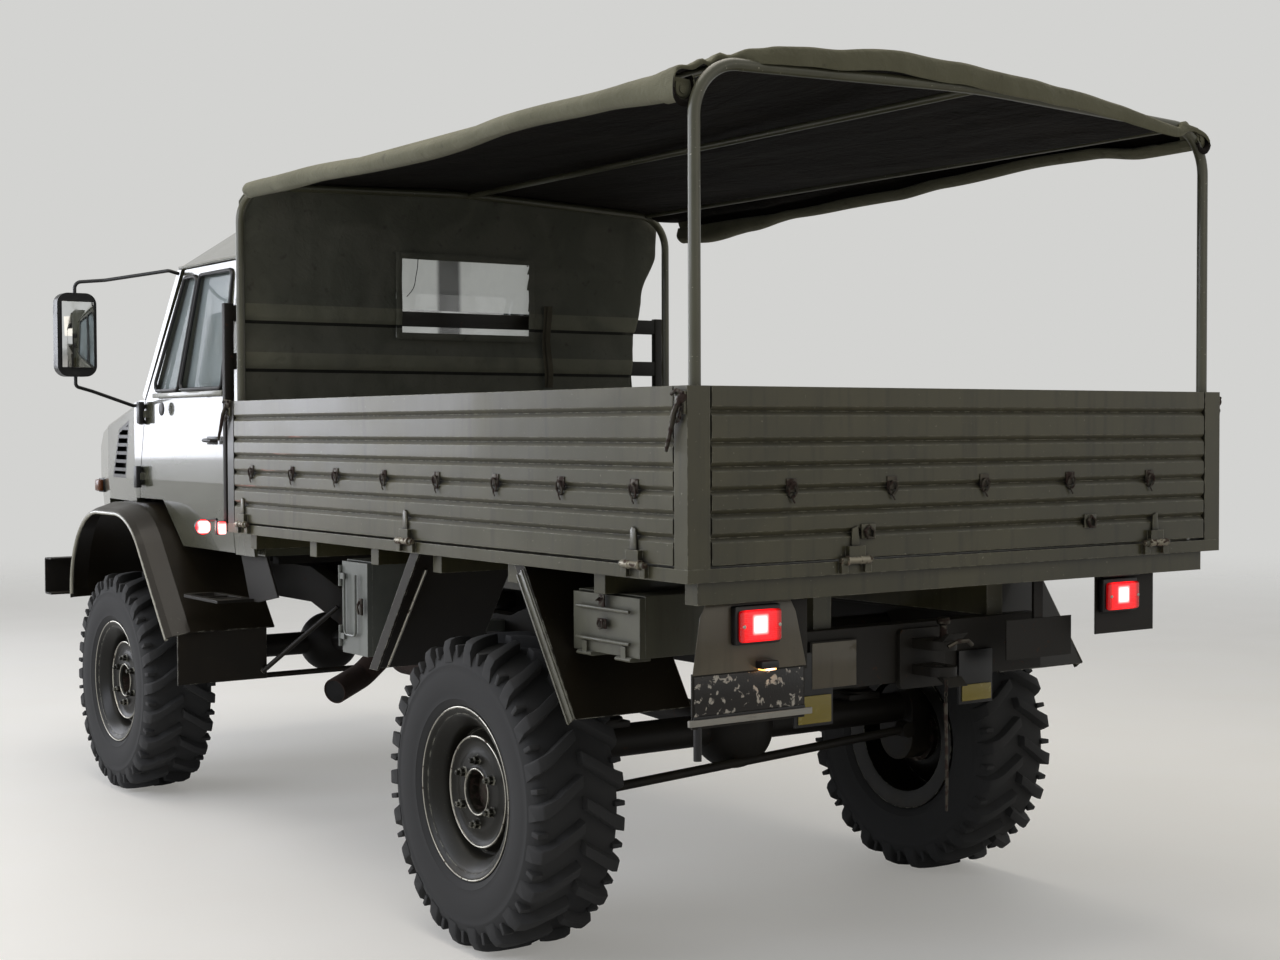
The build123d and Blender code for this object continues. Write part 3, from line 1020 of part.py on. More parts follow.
# Rack behind the cab: posts with two slats
RACK_SLATS = (
    # (lower edge, upper edge)
    (1904, 1970),
    (2086, 2165),
)
with BuildPart() as front_rack:
    for side in (1, -1):
        post = (side * RACK_X - RACK_POST / 2, side * RACK_X + RACK_POST / 2)
        block(post, (RACK_Y - 15, RACK_Y + 15), (SIDE_RAIL_BOTTOM_Z, 2500))
        block(post, (RACK_Y + 15, BED_FRONT_Y), (SIDE_RAIL_BOTTOM_Z + 5, DECK_Z - 5))
    for low, high in RACK_SLATS:
        block((-RACK_X, RACK_X), (RACK_Y - 12, RACK_Y + 12), (low, high))
write(front_rack.part, "front_rack")

# Canopy bows with battens between them
with BuildPart() as canopy_bows:
    for y in (FRONT_BOW_Y, REAR_BOW_Y):
        pipe([(BOW_X, y, GATE_TOP_Z), (BOW_X, y, BOW_SHOULDER_Z), (0, y, BOW_CROWN_Z), (-BOW_X, y, BOW_SHOULDER_Z),
              (-BOW_X, y, GATE_TOP_Z)], BOW_RADIUS, [BOW_BEND, 4000, BOW_BEND])
    for x, z in ((930, 2637), (0, BOW_CROWN_Z - 5), (-930, 2637)):
        bar_y(12, x, (FRONT_BOW_Y, REAR_BOW_Y), z)
write(canopy_bows.part, "canopy_bows")

# Canopy roof: a crowned sheet over the bows with rolled side curtains
ROOF_FRONT_Y = FRONT_BOW_Y - BOW_RADIUS - 20
ROOF_REAR_Y = REAR_BOW_Y + BOW_RADIUS + 20
ROOF_LIFT = 34.0
roof_low = BOW_RADIUS + 0.3
with BuildPart() as canopy_roof:
    cross_profile([
        (-BOW_X - 16, 2590), (-BOW_X + 40, BOW_SHOULDER_Z + roof_low + 2), (0, BOW_CROWN_Z + roof_low),
        (BOW_X - 40, BOW_SHOULDER_Z + roof_low + 2), (BOW_X + 16, 2590),
        (BOW_X + 26, 2592), (BOW_X - 34, BOW_SHOULDER_Z + roof_low + 12), (400, BOW_CROWN_Z + roof_low + ROOF_LIFT - 8),
        (0, BOW_CROWN_Z + roof_low + ROOF_LIFT), (-400, BOW_CROWN_Z + roof_low + ROOF_LIFT - 8),
        (-BOW_X + 34, BOW_SHOULDER_Z + roof_low + 12), (-BOW_X - 26, 2592),
    ], (ROOF_FRONT_Y, ROOF_REAR_Y))
    for side in (1, -1):
        bar_y(CURTAIN_ROLL, side * (BOW_X + 24), (ROOF_FRONT_Y, ROOF_REAR_Y), 2580)
write(canopy_roof.part, "canopy_roof")

# Canopy front wall with its clear window
WINDOW = dict(x=(-332.0, 336.0), z=(2050.0, 2403.0))
with BuildPart() as canopy_front:
    cross_profile([(-1024, 1700), (1024, 1700), (1024, 2555), (985, 2645), (0, 2684), (-985, 2645), (-1024, 2555)],
                  (BED_FRONT_Y - 10.3, BED_FRONT_Y - 0.3))
    block(WINDOW["x"], (BED_FRONT_Y - 11, BED_FRONT_Y + 1), WINDOW["z"], mode=Mode.SUBTRACT)
write(canopy_front.part, "canopy_front")

with BuildPart() as canopy_window:
    block((WINDOW["x"][0] + 0.3, WINDOW["x"][1] - 0.3), (BED_FRONT_Y - 7, BED_FRONT_Y - 3),
          (WINDOW["z"][0] + 0.3, WINDOW["z"][1] - 0.3))
write(canopy_window.part, "canopy_window")
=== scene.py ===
"""Looks of the military cargo truck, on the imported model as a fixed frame.

Everything is in metres in the part's own frame: +X is the truck's left, -Y its front and +Z up.
"""

from __future__ import annotations

import logging
import math
from collections.abc import Callable, Sequence
from dataclasses import dataclass, replace
from enum import Enum

import bmesh
import bpy
from bpy.types import Material, Mesh, NodeSocket, NodeTree, Object
from mathutils import Matrix, Vector, noise


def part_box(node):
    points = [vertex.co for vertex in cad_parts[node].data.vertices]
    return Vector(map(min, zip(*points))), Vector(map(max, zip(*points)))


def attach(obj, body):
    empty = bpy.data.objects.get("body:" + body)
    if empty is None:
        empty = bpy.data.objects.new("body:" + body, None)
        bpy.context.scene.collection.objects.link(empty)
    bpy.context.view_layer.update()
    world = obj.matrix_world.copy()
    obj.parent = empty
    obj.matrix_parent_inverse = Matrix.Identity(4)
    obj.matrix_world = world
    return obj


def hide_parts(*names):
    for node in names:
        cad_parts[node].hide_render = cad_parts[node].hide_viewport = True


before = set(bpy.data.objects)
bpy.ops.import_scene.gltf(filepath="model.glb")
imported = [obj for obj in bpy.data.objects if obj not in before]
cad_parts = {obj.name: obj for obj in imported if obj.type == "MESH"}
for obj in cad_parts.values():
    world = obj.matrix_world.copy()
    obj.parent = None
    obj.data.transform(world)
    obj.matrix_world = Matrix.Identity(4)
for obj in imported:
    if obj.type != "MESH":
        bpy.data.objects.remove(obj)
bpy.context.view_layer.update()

log = logging.getLogger("truck")

Point = tuple[float, float, float]
Pair = tuple[float, float]
SIDES = {"left": 1, "right": -1}

FRONT_AXLE, REAR_AXLE = -1.709, 1.541
HALF_TRACK, HUB_Z = 0.941, 0.502


def linear(colour: str) -> tuple[float, ...]:
    """An sRGB colour, six hex digits after a hash, as linear red, green and blue and full opacity."""
    channels = [int(colour[i:i + 2], 16) / 255 for i in (1, 3, 5)]
    return (*(c / 12.92 if c <= 0.04045 else ((c + 0.055) / 1.055) ** 2.4 for c in channels), 1.0)


def around(count: int) -> list[float]:
    """Angles at even steps round a full turn."""
    return [2 * math.pi * k / count for k in range(count)]


def part_of(value: float, start: float, reach: float) -> float:
    """How far a value lies along a reach from its start, held between nought and one."""
    return max(0.0, min((value - start) / reach, 1.0))


def placed(name: str, data: bpy.types.ID) -> Object:
    """A new object in the scene that shows the data."""
    thing = bpy.data.objects.new(name, data)
    bpy.context.scene.collection.objects.link(thing)
    return thing


def add_node(tree: NodeTree, kind: str, inputs: dict | None = None, out: int | str = 0,
             **settings: object) -> NodeSocket | None:
    """Add a node, set its properties, and fill or link its inputs.

    Args:
        tree: the node tree that gets the node.
        kind: the node's type name.
        inputs: values or output sockets by input name or index.
        out: the output that is handed back.
        settings: properties of the node itself.

    Returns:
        The chosen output socket, or None where the node has no outputs.
    """
    node = tree.nodes.new(kind)
    for key, value in settings.items():
        setattr(node, key, value)
    for key, value in (inputs or {}).items():
        if isinstance(value, NodeSocket):
            tree.links.new(value, node.inputs[key])
        else:
            node.inputs[key].default_value = value
    return node.outputs[out] if node.outputs else None


class Surface:
    """A material while its finish is laid on: patches, dust, rubbed edges and relief."""

    def __init__(self, name: str) -> None:
        """Start an empty material with the object's coordinates at hand."""
        self.material = bpy.data.materials.new(name)
        self.material.use_nodes = True
        self.tree = self.material.node_tree
        self.tree.nodes.clear()
        self.place = add_node(self.tree, "ShaderNodeTexCoord", out="Object")
        self.normal = add_node(self.tree, "ShaderNodeNewGeometry", out="Normal")

    def axis(self, name: str, vector: NodeSocket | None = None) -> NodeSocket:
        """One coordinate of a vector, or else of the place in the truck."""
        return add_node(self.tree, "ShaderNodeSeparateXYZ", {0: self.place if vector is None else vector}, name)

    def maths(self, operation: str, *values: NodeSocket | float, clamp: bool = False) -> NodeSocket:
        """One sum of up to three values."""
        return add_node(self.tree, "ShaderNodeMath", dict(enumerate(values)), operation=operation, use_clamp=clamp)

    def ramp(self, value: NodeSocket, start: float, end: float, top: float = 1.0, kind: str = "SMOOTHSTEP",
             bottom: float = 0.0) -> NodeSocket:
        """An amount that goes from bottom to top while a value goes from start to end.

        Args:
            value: what is read.
            start: the value where the amount leaves the bottom.
            end: the value where it reaches the top.
            top: the highest amount.
            kind: the shape of the slope.
            bottom: the lowest amount.

        Returns:
            The amount at each point.
        """
        return add_node(self.tree, "ShaderNodeMapRange", {"Value": value, "From Min": start, "From Max": end,
                                                          "To Min": bottom, "To Max": top}, interpolation_type=kind)

    def patches(self, size_mm: float, low: float, high: float, strength: float = 1.0, stretch: Point = (1, 1, 1),
                detail: float = 4.0, warp: float = 0.0) -> NodeSocket:
        """Soft-edged patches of about a size.

        Args:
            size_mm: size of a patch in millimetres.
            low: noise value where a patch starts to show.
            high: noise value where it shows fully.
            strength: how strongly a patch shows.
            stretch: how much longer patches are along each axis.
            detail: octaves of finer breakup.
            warp: distortion of the patches.

        Returns:
            The patches, from nought to their strength.
        """
        scaled = add_node(self.tree, "ShaderNodeMapping", {
            "Vector": self.place, "Scale": tuple(1 / s for s in stretch)})
        grain = add_node(self.tree, "ShaderNodeTexNoise", {
            "Vector": scaled, "Scale": 1000 / size_mm, "Detail": detail, "Distortion": warp}, "Fac")
        return self.ramp(grain, low, high, strength)

    def within(self, mask: NodeSocket, patches: NodeSocket) -> NodeSocket:
        """Patches only where a mask is."""
        return self.maths("MULTIPLY", mask, patches, clamp=True)

    def lying(self, strength: float) -> NodeSocket:
        """What settles on faces that look up, at its full strength on a level one."""
        return self.ramp(self.axis("Z", self.normal), 0.3, 0.95, strength)

    def splashed(self, top: float, strength: float) -> NodeSocket:
        """Mud thrown up from the ground, thinner towards the height where it ends."""
        return self.ramp(self.axis("Z"), top, top * 0.35, strength, "LINEAR")

    def edges(self, radius_mm: float) -> tuple[NodeSocket, NodeSocket]:
        """Edges as the bevel of a real sheet shows them.

        Args:
            radius_mm: radius of the rounding.

        Returns:
            The rounded normal, and a mask that is one along edges.
        """
        rounded = add_node(self.tree, "ShaderNodeBevel", {"Radius": radius_mm / 1000}, samples=4)
        same = add_node(self.tree, "ShaderNodeVectorMath", {0: rounded, 1: self.normal}, "Value",
                        operation="DOT_PRODUCT")
        return rounded, self.ramp(same, 0.985, 0.86, kind="LINEAR")

    def corners(self, reach_mm: float) -> NodeSocket:
        """Inner corners and gaps, where dirt stays and where shade is painted in: one deep inside them, nought in the
        open.
        """
        open_sky = add_node(self.tree, "ShaderNodeAmbientOcclusion", {"Distance": reach_mm / 1000}, "AO", samples=4)
        return self.ramp(open_sky, 0.85, 0.45, kind="LINEAR")

    def layered(self, ground: NodeSocket | tuple, *layers: tuple[NodeSocket | float, NodeSocket | tuple]) -> NodeSocket:
        """Lay colours over one another.

        Args:
            ground: the lowest colour.
            layers: how much of each further colour covers it, and the colour.

        Returns:
            The colour that shows.
        """
        for amount, colour in layers:
            ground = add_node(self.tree, "ShaderNodeMix", {0: amount, 6: ground, 7: colour}, 2, data_type="RGBA")
        return ground

    def rougher(self, base: float, *added: tuple[NodeSocket, float]) -> NodeSocket:
        """Roughness that dirt and wear add to.

        Args:
            base: the clean finish's roughness.
            added: masks, and how much rougher each makes the finish.

        Returns:
            The roughness at each point.
        """
        total: NodeSocket | float = base
        for mask, more in added:
            total = self.maths("MULTIPLY_ADD", mask, more, total, clamp=True)
        return total

    def relief(self, under: NodeSocket | None, *reliefs: tuple[NodeSocket, float]) -> NodeSocket:
        """Lay fine reliefs over a normal.

        Args:
            under: the normal below them, or None for the mesh's own.
            reliefs: heights from nought to one, and the depth of each in millimetres.

        Returns:
            The bent normal.
        """
        for height, depth_mm in reliefs:
            inputs = {"Height": height, "Distance": depth_mm / 1000}
            if under is not None:
                inputs["Normal"] = under
            under = add_node(self.tree, "ShaderNodeBump", inputs)
        return under

    def finished(self, **inputs: NodeSocket | float | tuple) -> Material:
        """Close the material with one shader.

        Args:
            inputs: the shader's inputs, with an underscore for each space in their names.

        Returns:
            The finished material.
        """
        named = {key.replace("_", " "): value for key, value in inputs.items()}
        shader = add_node(self.tree, "ShaderNodeBsdfPrincipled", named)
        add_node(self.tree, "ShaderNodeOutputMaterial", {"Surface": shader})
        return self.material


@dataclass(frozen=True)
class Paint:
    """Sprayed alkyd paint on sheet steel: an even satin or gloss film, bare at rubbed edges, dusty on top."""

    name: str
    coat: str
    faded: str
    roughness: float = 0.4
    gloss: float = 0.0
    bare: str = "#a8a692"
    edge_mm: float = 4.0
    edge_wear: float = 0.6
    dust: float = 0.35
    grime_and_shade: float = 0.6
    streaks: float = 0.25
    rust: float = 0.1
    chips: float = 0.25
    mud_top: float = 0.9
    dents_mm: float = 0.5
    shine: float = 0.5
    shaded_ahead: Pair | None = None

    def build(self) -> Material:
        """Fading, run-off streaks, dust above, mud below, grime and painted shade in corners, chips and rubbed edges.
        """
        s = Surface(self.name)
        rounded, edge = s.edges(self.edge_mm)
        corner = s.corners(32)
        fading = s.patches(420, 0.35, 0.68, warp=0.6)
        runs = s.patches(36, 0.5, 0.78, self.streaks, (1, 1, 12))
        dust = s.within(s.lying(self.dust), s.patches(120, 0.3, 0.62))
        mud = s.within(s.splashed(self.mud_top, 0.8), s.patches(70, 0.38, 0.66, detail=5))
        # Grime and painted shade: inner corners and grooves are darkened where the shade falls.
        dark = s.within(corner, s.patches(80, 0.1, 0.45, self.grime_and_shade))
        rubbed = s.within(edge, s.patches(30, 0.42, 0.62, self.edge_wear, detail=5))
        chips = s.patches(8, 0.69, 0.73, self.chips, detail=6, warp=0.4)
        rust = s.patches(24, 0.66, 0.74, self.rust, detail=5, warp=0.8)
        colour = s.layered(linear(self.coat), (fading, linear(self.faded)), (runs, linear("#26231a")),
                           (dust, linear("#6f6a58")), (dark, linear("#15120c")), (mud, linear("#5a5140")),
                           (chips, linear(self.bare)), (rubbed, linear(self.bare)), (rust, linear("#4a2c1a")))
        if self.shaded_ahead:
            # Painted shade: the coat turns black towards the front, where the gap behind the cab lies in shade.
            black = s.ramp(s.axis("Y"), *self.shaded_ahead, 0.85, "LINEAR")
            colour = s.layered(colour, (black, linear("#100e0b")))
        rough = s.rougher(self.roughness, (fading, 0.08), (dust, 0.5), (mud, 0.5), (dark, 0.3), (rust, 0.3))
        normal = s.relief(rounded, (s.patches(260, 0.2, 0.8, detail=2), self.dents_mm),
                          (s.patches(2.4, 0.2, 0.8, detail=2), 0.02))
        return s.finished(Base_Color=colour, Roughness=rough, Normal=normal, Specular_IOR_Level=self.shine,
                          Coat_Weight=self.gloss, Coat_Roughness=0.05)


@dataclass(frozen=True)
class Steel:
    """Bare or rusting steel: bright where it is rubbed, brown and rough where it rusts."""

    name: str
    bright: str
    rust: str
    share: float = 0.5
    roughness: float = 0.38

    def build(self) -> Material:
        """Bright metal under patches of rust."""
        s = Surface(self.name)
        start = 0.72 - self.share * 0.5
        rust = s.patches(22, start, start + 0.08, detail=6, warp=0.7)
        clean = s.patches(22, start + 0.08, start, detail=6, warp=0.7)
        grain = s.patches(3, 0.3, 0.7, detail=5)
        colour = s.layered(linear(self.bright), (rust, s.layered(linear(self.rust), (grain, linear("#2a1a12")))))
        return s.finished(Base_Color=colour, Metallic=clean, Roughness=s.rougher(self.roughness, (rust, 0.45)),
                          Normal=s.relief(None, (s.within(rust, grain), 0.5)))


@dataclass(frozen=True)
class Rubber:
    """Vulcanised rubber: a bluish black with a wiped sheen, grey-brown dust on the tread and fine flow lines."""

    name: str
    colour: str = "#060709"
    dust_colour: str = "#2c2921"
    dust: float = 0.22
    roughness: float = 0.4

    def build(self) -> Material:
        """Rubber with dust that gathers on the lug faces."""
        s = Surface(self.name)
        cloud = s.patches(60, 0.45, 0.78, 0.08, detail=5, warp=0.5)
        tread = add_node(s.tree, "ShaderNodeAttribute", out="Fac", attribute_name="tread")
        rubbed = s.within(tread, s.patches(26, 0.3, 0.62, self.dust, detail=5))
        colour = s.layered(linear(self.colour), (cloud, linear(self.dust_colour)), (rubbed, linear(self.dust_colour)))
        return s.finished(Base_Color=colour, Roughness=s.rougher(self.roughness, (rubbed, 0.5), (cloud, 0.5)),
                          Specular_IOR_Level=0.08,
                          Normal=s.relief(None, (s.patches(30, 0.2, 0.8), 0.6), (s.patches(1.6, 0.2, 0.8), 0.12)))


@dataclass(frozen=True)
class Canvas:
    """Coated cotton canvas in a plain weave: matt, folded and stained, with painted highlights on pressed bands and
    painted shadow lines under folds where asked.
    """

    name: str
    colour: str
    faded: str
    thread_mm: float = 2.4
    fade: float = 0.7
    creases_mm: float = 2.4
    sheen: float = 0.12
    painted_shadow_lines: tuple[float, ...] = ()
    painted_highlight_bands: tuple[Pair, ...] = ()

    def build(self) -> Material:
        """A weave of crossed waves under stains and soft creases."""
        s = Surface(self.name)
        stains = s.patches(240, 0.36, 0.66, self.fade, detail=5, warp=0.8)
        spots = s.patches(46, 0.6, 0.76, 0.4, detail=5)
        colour = s.layered(linear(self.colour), (stains, linear(self.faded)), (spots, linear("#2b271f")))
        height = s.axis("Z")
        # Painted highlight: bands where the cloth lies over a slat are made paler, as if catching light from above.
        for low, high in self.painted_highlight_bands:
            band = s.maths("COMPARE", height, (low + high) / 2, (high - low) / 2)
            colour = s.layered(colour, (s.within(band, s.patches(160, 0.2, 0.6, 0.55)), linear("#96957f")))
        # Painted shadow: a thin dark line at the lower edge of each slat, where the cloth steps back in.
        for level in self.painted_shadow_lines:
            fold = s.maths("COMPARE", height, level, 0.0065)
            colour = s.layered(colour, (s.within(fold, s.patches(200, 0.15, 0.4, 0.9)), linear("#0d0c09")))
        # The real thread is about half a millimetre; it is drawn coarser so that a render can show it.
        ribs = [add_node(s.tree, "ShaderNodeTexWave", {"Vector": s.place, "Scale": 157 / self.thread_mm,
                                                       "Distortion": 0.5}, "Fac", bands_direction=way) for way in "XYZ"]
        creases = s.patches(120, 0.25, 0.75, 1.0, (1, 2.6, 1), warp=1.4)
        normal = s.relief(None, (creases, self.creases_mm), (s.patches(34, 0.3, 0.7, warp=1.2), self.creases_mm * 0.4),
                          (s.within(ribs[1], ribs[0]), 0.2), (s.within(ribs[1], ribs[2]), 0.2))
        return s.finished(Base_Color=colour, Roughness=0.85, Normal=normal, Sheen_Weight=self.sheen,
                          Sheen_Roughness=0.6, Specular_IOR_Level=0.2)


@dataclass(frozen=True)
class Glass:
    """Laminated glass or clear film: a faint tint, a film of dust and a sharp reflection."""

    name: str
    tint: str = "#cfd8d4"
    body: float = 0.16
    haze: float = 0.3
    roughness: float = 0.02
    dirt: str = "#8c8672"
    # A painted glow: the film emits its own colour as if light came through it from the front.
    painted_glow: float = 0.0
    pressed: Pair | None = None
    shaded: Pair | None = None

    def build(self) -> Material:
        """Thin clear glass, more of a mirror at a grazing look, whose dust makes it a little opaque."""
        s = Surface(self.name)
        film = s.patches(90, 0.35, 0.8, self.haze, (1, 1, 2))
        grazing = add_node(s.tree, "ShaderNodeFresnel", {"IOR": 1.5})
        colour = s.layered(linear(self.tint), (film, linear(self.dirt)))
        body = s.rougher(self.body, (film, 0.7), (grazing, 0.8))
        if self.pressed:
            low, high = self.pressed
            band = s.maths("COMPARE", s.axis("Z"), (low + high) / 2, (high - low) / 2)
            body = s.maths("MULTIPLY_ADD", band, -0.85, body, clamp=True)
        # Painted shade: a narrow upright band of the film is darkened.
        if self.shaded:
            low, high = self.shaded
            off = s.maths("ABSOLUTE", s.maths("SUBTRACT", s.axis("X"), (low + high) / 2))
            dark = s.ramp(off, (high - low) * 0.62, (high - low) * 0.38, 0.85)
            colour = s.layered(colour, (dark, linear("#3c3c3a")))
        return s.finished(Base_Color=colour, Alpha=body, IOR=1.5, Roughness=s.rougher(self.roughness, (film, 0.5)),
                          Emission_Color=colour, Emission_Strength=self.painted_glow)


@dataclass(frozen=True)
class Lens:
    """Moulded acrylic lamp lens, lit by a bulb behind it: white hot at the bulb, deep colour at the rim."""

    name: str
    colour: str
    bulb: Point
    reach: float
    power: float

    def build(self) -> Material:
        """A glow that falls off with the distance from the bulb, over moulded prisms."""
        s = Surface(self.name)
        off = add_node(s.tree, "ShaderNodeVectorMath", {0: s.place, 1: self.bulb}, operation="SUBTRACT")
        off = add_node(s.tree, "ShaderNodeVectorMath", {0: off}, operation="ABSOLUTE")
        # The longest of the three distances, a little rounded, gives the glow the squarish shape of the lens.
        far = s.maths("MAXIMUM", s.axis("X", off), s.axis("Y", off))
        far = s.maths("SMOOTH_MAX", far, s.axis("Z", off), 0.012)
        hot = s.ramp(far, self.reach * 0.4, self.reach * 0.05)
        power = s.ramp(far, self.reach, 0.0, self.power, "SMOOTHERSTEP", 0.1)
        prisms = add_node(s.tree, "ShaderNodeTexWave", {"Vector": s.place, "Scale": 60.0}, "Fac", bands_direction="Z")
        return s.finished(Base_Color=linear(self.colour), Roughness=0.12, Normal=s.relief(None, (prisms, 0.5)),
                          Emission_Color=s.layered(linear(self.colour), (hot, linear("#fff0ea"))),
                          Emission_Strength=power, Coat_Weight=0.5)


@dataclass(frozen=True)
class Plastic:
    """Moulded plastic or seat vinyl: one colour through, a fine grain and a soft highlight."""

    name: str
    colour: str
    worn: str
    roughness: float = 0.45
    grain_mm: float = 1.2
    grain_depth: float = 0.06
    scuffed: Point = (60, 0.5, 0.74)

    def build(self) -> Material:
        """Grain and scuffs."""
        s = Surface(self.name)
        scuffs = s.patches(*self.scuffed, 0.6, detail=5, warp=0.5)
        cells = add_node(s.tree, "ShaderNodeTexVoronoi", {"Vector": s.place, "Scale": 1000 / self.grain_mm}, "Distance")
        return s.finished(Base_Color=s.layered(linear(self.colour), (scuffs, linear(self.worn))),
                          Roughness=s.rougher(self.roughness, (scuffs, 0.2)),
                          Normal=s.relief(None, (cells, self.grain_depth)))


@dataclass(frozen=True)
class Mirror:
    """Silvered mirror glass: an almost perfect reflection behind a little dust."""

    name: str

    def build(self) -> Material:
        """Silver with a film of dust."""
        s = Surface(self.name)
        film = s.patches(60, 0.4, 0.8, 0.3)
        return s.finished(Base_Color=s.layered(linear("#e4e6e6"), (film, linear("#8f8c80"))), Metallic=1.0,
                          Roughness=s.rougher(0.03, (film, 0.4)))


class Finish(Enum):
    """Every finish on the truck, named for what wears it."""

    # Enamel that is kept clean: a coloured mirror for the sky, with hardly a mark.
    CAB = Paint("gloss_olive_cab_paint", "#4b4b3c", "#515141", 0.2, 1.0, edge_wear=0.25, dust=0.07, grime_and_shade=0.5,
                streaks=0.1, rust=0.0, chips=0.04, dents_mm=0.3)
    # Paint in the spray of the wheels: almost black with road film, silver along its stone-struck edges.
    WING = Paint("olive_wing_paint", "#18130b", "#201a10", 0.34, 0.1, "#a9a798", 5, 1.0, 0.04, 0.6, 0.15, 0.1, 0.1,
                 mud_top=0.5, shine=0.28)
    # Sheet steel that loads have rubbed and dented: wavy highlights, pale chips on every rib, and grime with painted
    # shade deep in its grooves.
    BED = Paint("satin_olive_bed_paint", "#413e29", "#504c35", 0.3, 0.15, "#a3a08a", 4, 0.9, 0.22, 0.95, 0.45, 0.1,
                0.45, dents_mm=0.9)
    # The same on thick section: flatter, and painted black towards the front as shade in the gap behind the cab.
    POST = replace(BED, name="satin_olive_post_paint", dents_mm=0.4, shaded_ahead=(0.2, 0.1))
    # Brushed chassis black: dull, greasy and splashed low down.
    CHASSIS = Paint("black_chassis_paint", "#171410", "#1f1c17", 0.5, 0.0, "#48453c", 4, 0.35, 0.15, 0.5, 0.2, 0.5,
                    0.1, mud_top=0.55, shine=0.3)
    # Rim enamel under brake dust: dark dishes with bright rubbed lips.
    RIM = Paint("olive_rim_enamel", "#100f0a", "#181710", 0.34, 0.0, "#bab8a6", 5, 1.0, 0.03, 0.8, 0.25, 0.08, 0.12,
                mud_top=0.3, dents_mm=0.3, shine=0.3)
    # Pressed boxes in greyer batches of paint: each stands out from the green beside it.
    GREY = Paint("grey_locker_paint", "#6c6f69", "#82857d", 0.34, 0.2, "#b5b4a8", 3, 0.6, 0.3, 0.5, 0.35, 0.2, 0.3)
    BOX = Paint("olive_grey_toolbox_paint", "#5b5a4c", "#6a6959", 0.38, 0.1, "#a5a393", 3, 0.6, 0.3, 0.6, 0.3, 0.15,
                0.3)
    STRIP = Paint("pale_mudguard_strip_paint", "#5a584a", "#706e60", 0.34, 0.2, "#a8a596", 2, 0.7, 0.3, 0.5, 0.4, 0.1,
                  0.3)
    PANEL = Paint("brown_lamp_panel_paint", "#544c3b", "#625a48", 0.3, 0.3, "#9a9480", 3, 0.5, 0.2, 0.5, 0.4, 0.1, 0.2)
    # Edges worn to metal: thin bright lines.
    SILL = Paint("bright_sill_paint", "#77776a", "#8a8a7e", 0.22, 0.6, "#c4c3b8", 3, 0.7, 0.2, 0.2, 0.1, 0.0, 0.2)
    LIP = Paint("rubbed_wing_lip", "#8a8776", "#aaa796", 0.2, 0.4, "#c0beb0", 4, 0.9, 0.2, 0.2, 0.2, 0.1, 0.6)
    # Bow tube that the cloth chafes: speckled with small bright chips.
    TUBE = Paint("olive_tube_paint", "#4d4c3a", "#5c5b48", 0.32, 0.2, "#b7b39a", 2, 0.3, 0.2, 0.3, 0.1, 0.1, 0.9)
    # Steel from burnt and brown to freshly rubbed, by how much of it has rusted.
    RUSTY = Steel("rusted_exhaust_steel", "#3a2f26", "#22170f", 0.85, 0.55)
    DULL = Steel("dulled_zinc_steel", "#8d8778", "#4a3828", 0.45, 0.4)
    BRIGHT = Steel("rubbed_zinc_steel", "#b9b6ab", "#5a4634", 0.22, 0.3)
    FORGED = Steel("oily_forged_steel", "#4b4740", "#2f2018", 0.5, 0.45)
    # Soot swallows light, and the bore's shade is painted in: a black cap without a highlight.
    SOOT = Plastic("sooted_pipe_bore", "#020202", "#060504", 0.95, 3.0, 0.1)
    TYRE = Rubber("tyre_rubber")
    SEAL = Rubber("black_seal_rubber", "#0c0c0d", "#3a372e", 0.25, 0.55)
    # Canvas in the sun is pale and matt, its lining is painted near black for the deep shade it lies in, and the wall
    # has painted highlights on the bands over its slats and painted shadow lines under them.
    CANVAS = Canvas("sun_bleached_canvas", "#6c6a54", "#7f7d66", fade=0.5)
    LINING = Canvas("shaded_canvas_lining", "#130f0b", "#1d1813", fade=0.8, creases_mm=4.0, sheen=0.0)
    WALL = Canvas("front_wall_canvas", "#66675a", "#78776a", fade=0.8, creases_mm=1.8,
                  painted_shadow_lines=(1.902, 2.096), painted_highlight_bands=((1.906, 1.975), (2.1, 2.17)))
    WEBBING = Canvas("cotton_webbing", "#4f4a3b", "#6a6452", 3.0, creases_mm=0.4)
    # Clean glass mirrors the sky; old vinyl film is milky, with a painted glow as if lit through from the front and
    # painted shade over a narrow upright band, and clear only where the rack presses on it.
    PANE = Glass("laminated_cab_glass", "#aab4b2", 0.1, 0.22)
    FILM = Glass("clear_vinyl_window", "#e4e6e3", 0.5, 0.3, 0.1, "#b4b5af", 0.24, (2.098, 2.168), (0.027, 0.133))
    CLEAR = Glass("fluted_headlamp_glass", "#d9dee0", 0.35, 0.2, 0.05)
    SILVER = Mirror("silvered_mirror_glass")
    # Moulded parts keep one colour through: soft highlights, and scuffs instead of chips.
    BLACK = Plastic("black_moulded_plastic", "#121213", "#2b2a27", 0.38)
    VINYL = Plastic("black_seat_vinyl", "#1a1a19", "#34322d", 0.45, 2.2, 0.2)
    # The plate's small pale specks are painted glints on wet dirt.
    PLATE = Plastic("blank_dirty_plate", "#120d09", "#f4ecdc", 0.28, 6.0, 0.3, (22, 0.57, 0.64))
    YELLOW = Plastic("yellow_reflector", "#8d7e33", "#b2a659", 0.25, 4.0, 0.3)
    WHITE = Plastic("white_plate_strip", "#a19e94", "#5f5b52", 0.4)
    AMBER = Plastic("amber_lens", "#643417", "#74421d", 0.15, 5.0, 0.4)

    def material(self) -> Material:
        """The finish's material, built once and shared."""
        return bpy.data.materials.get(self.value.name) or self.value.build()


def material_of(finish: Finish | Material) -> Material:
    """A finish's material, or the material itself."""
    return finish.material() if isinstance(finish, Finish) else finish


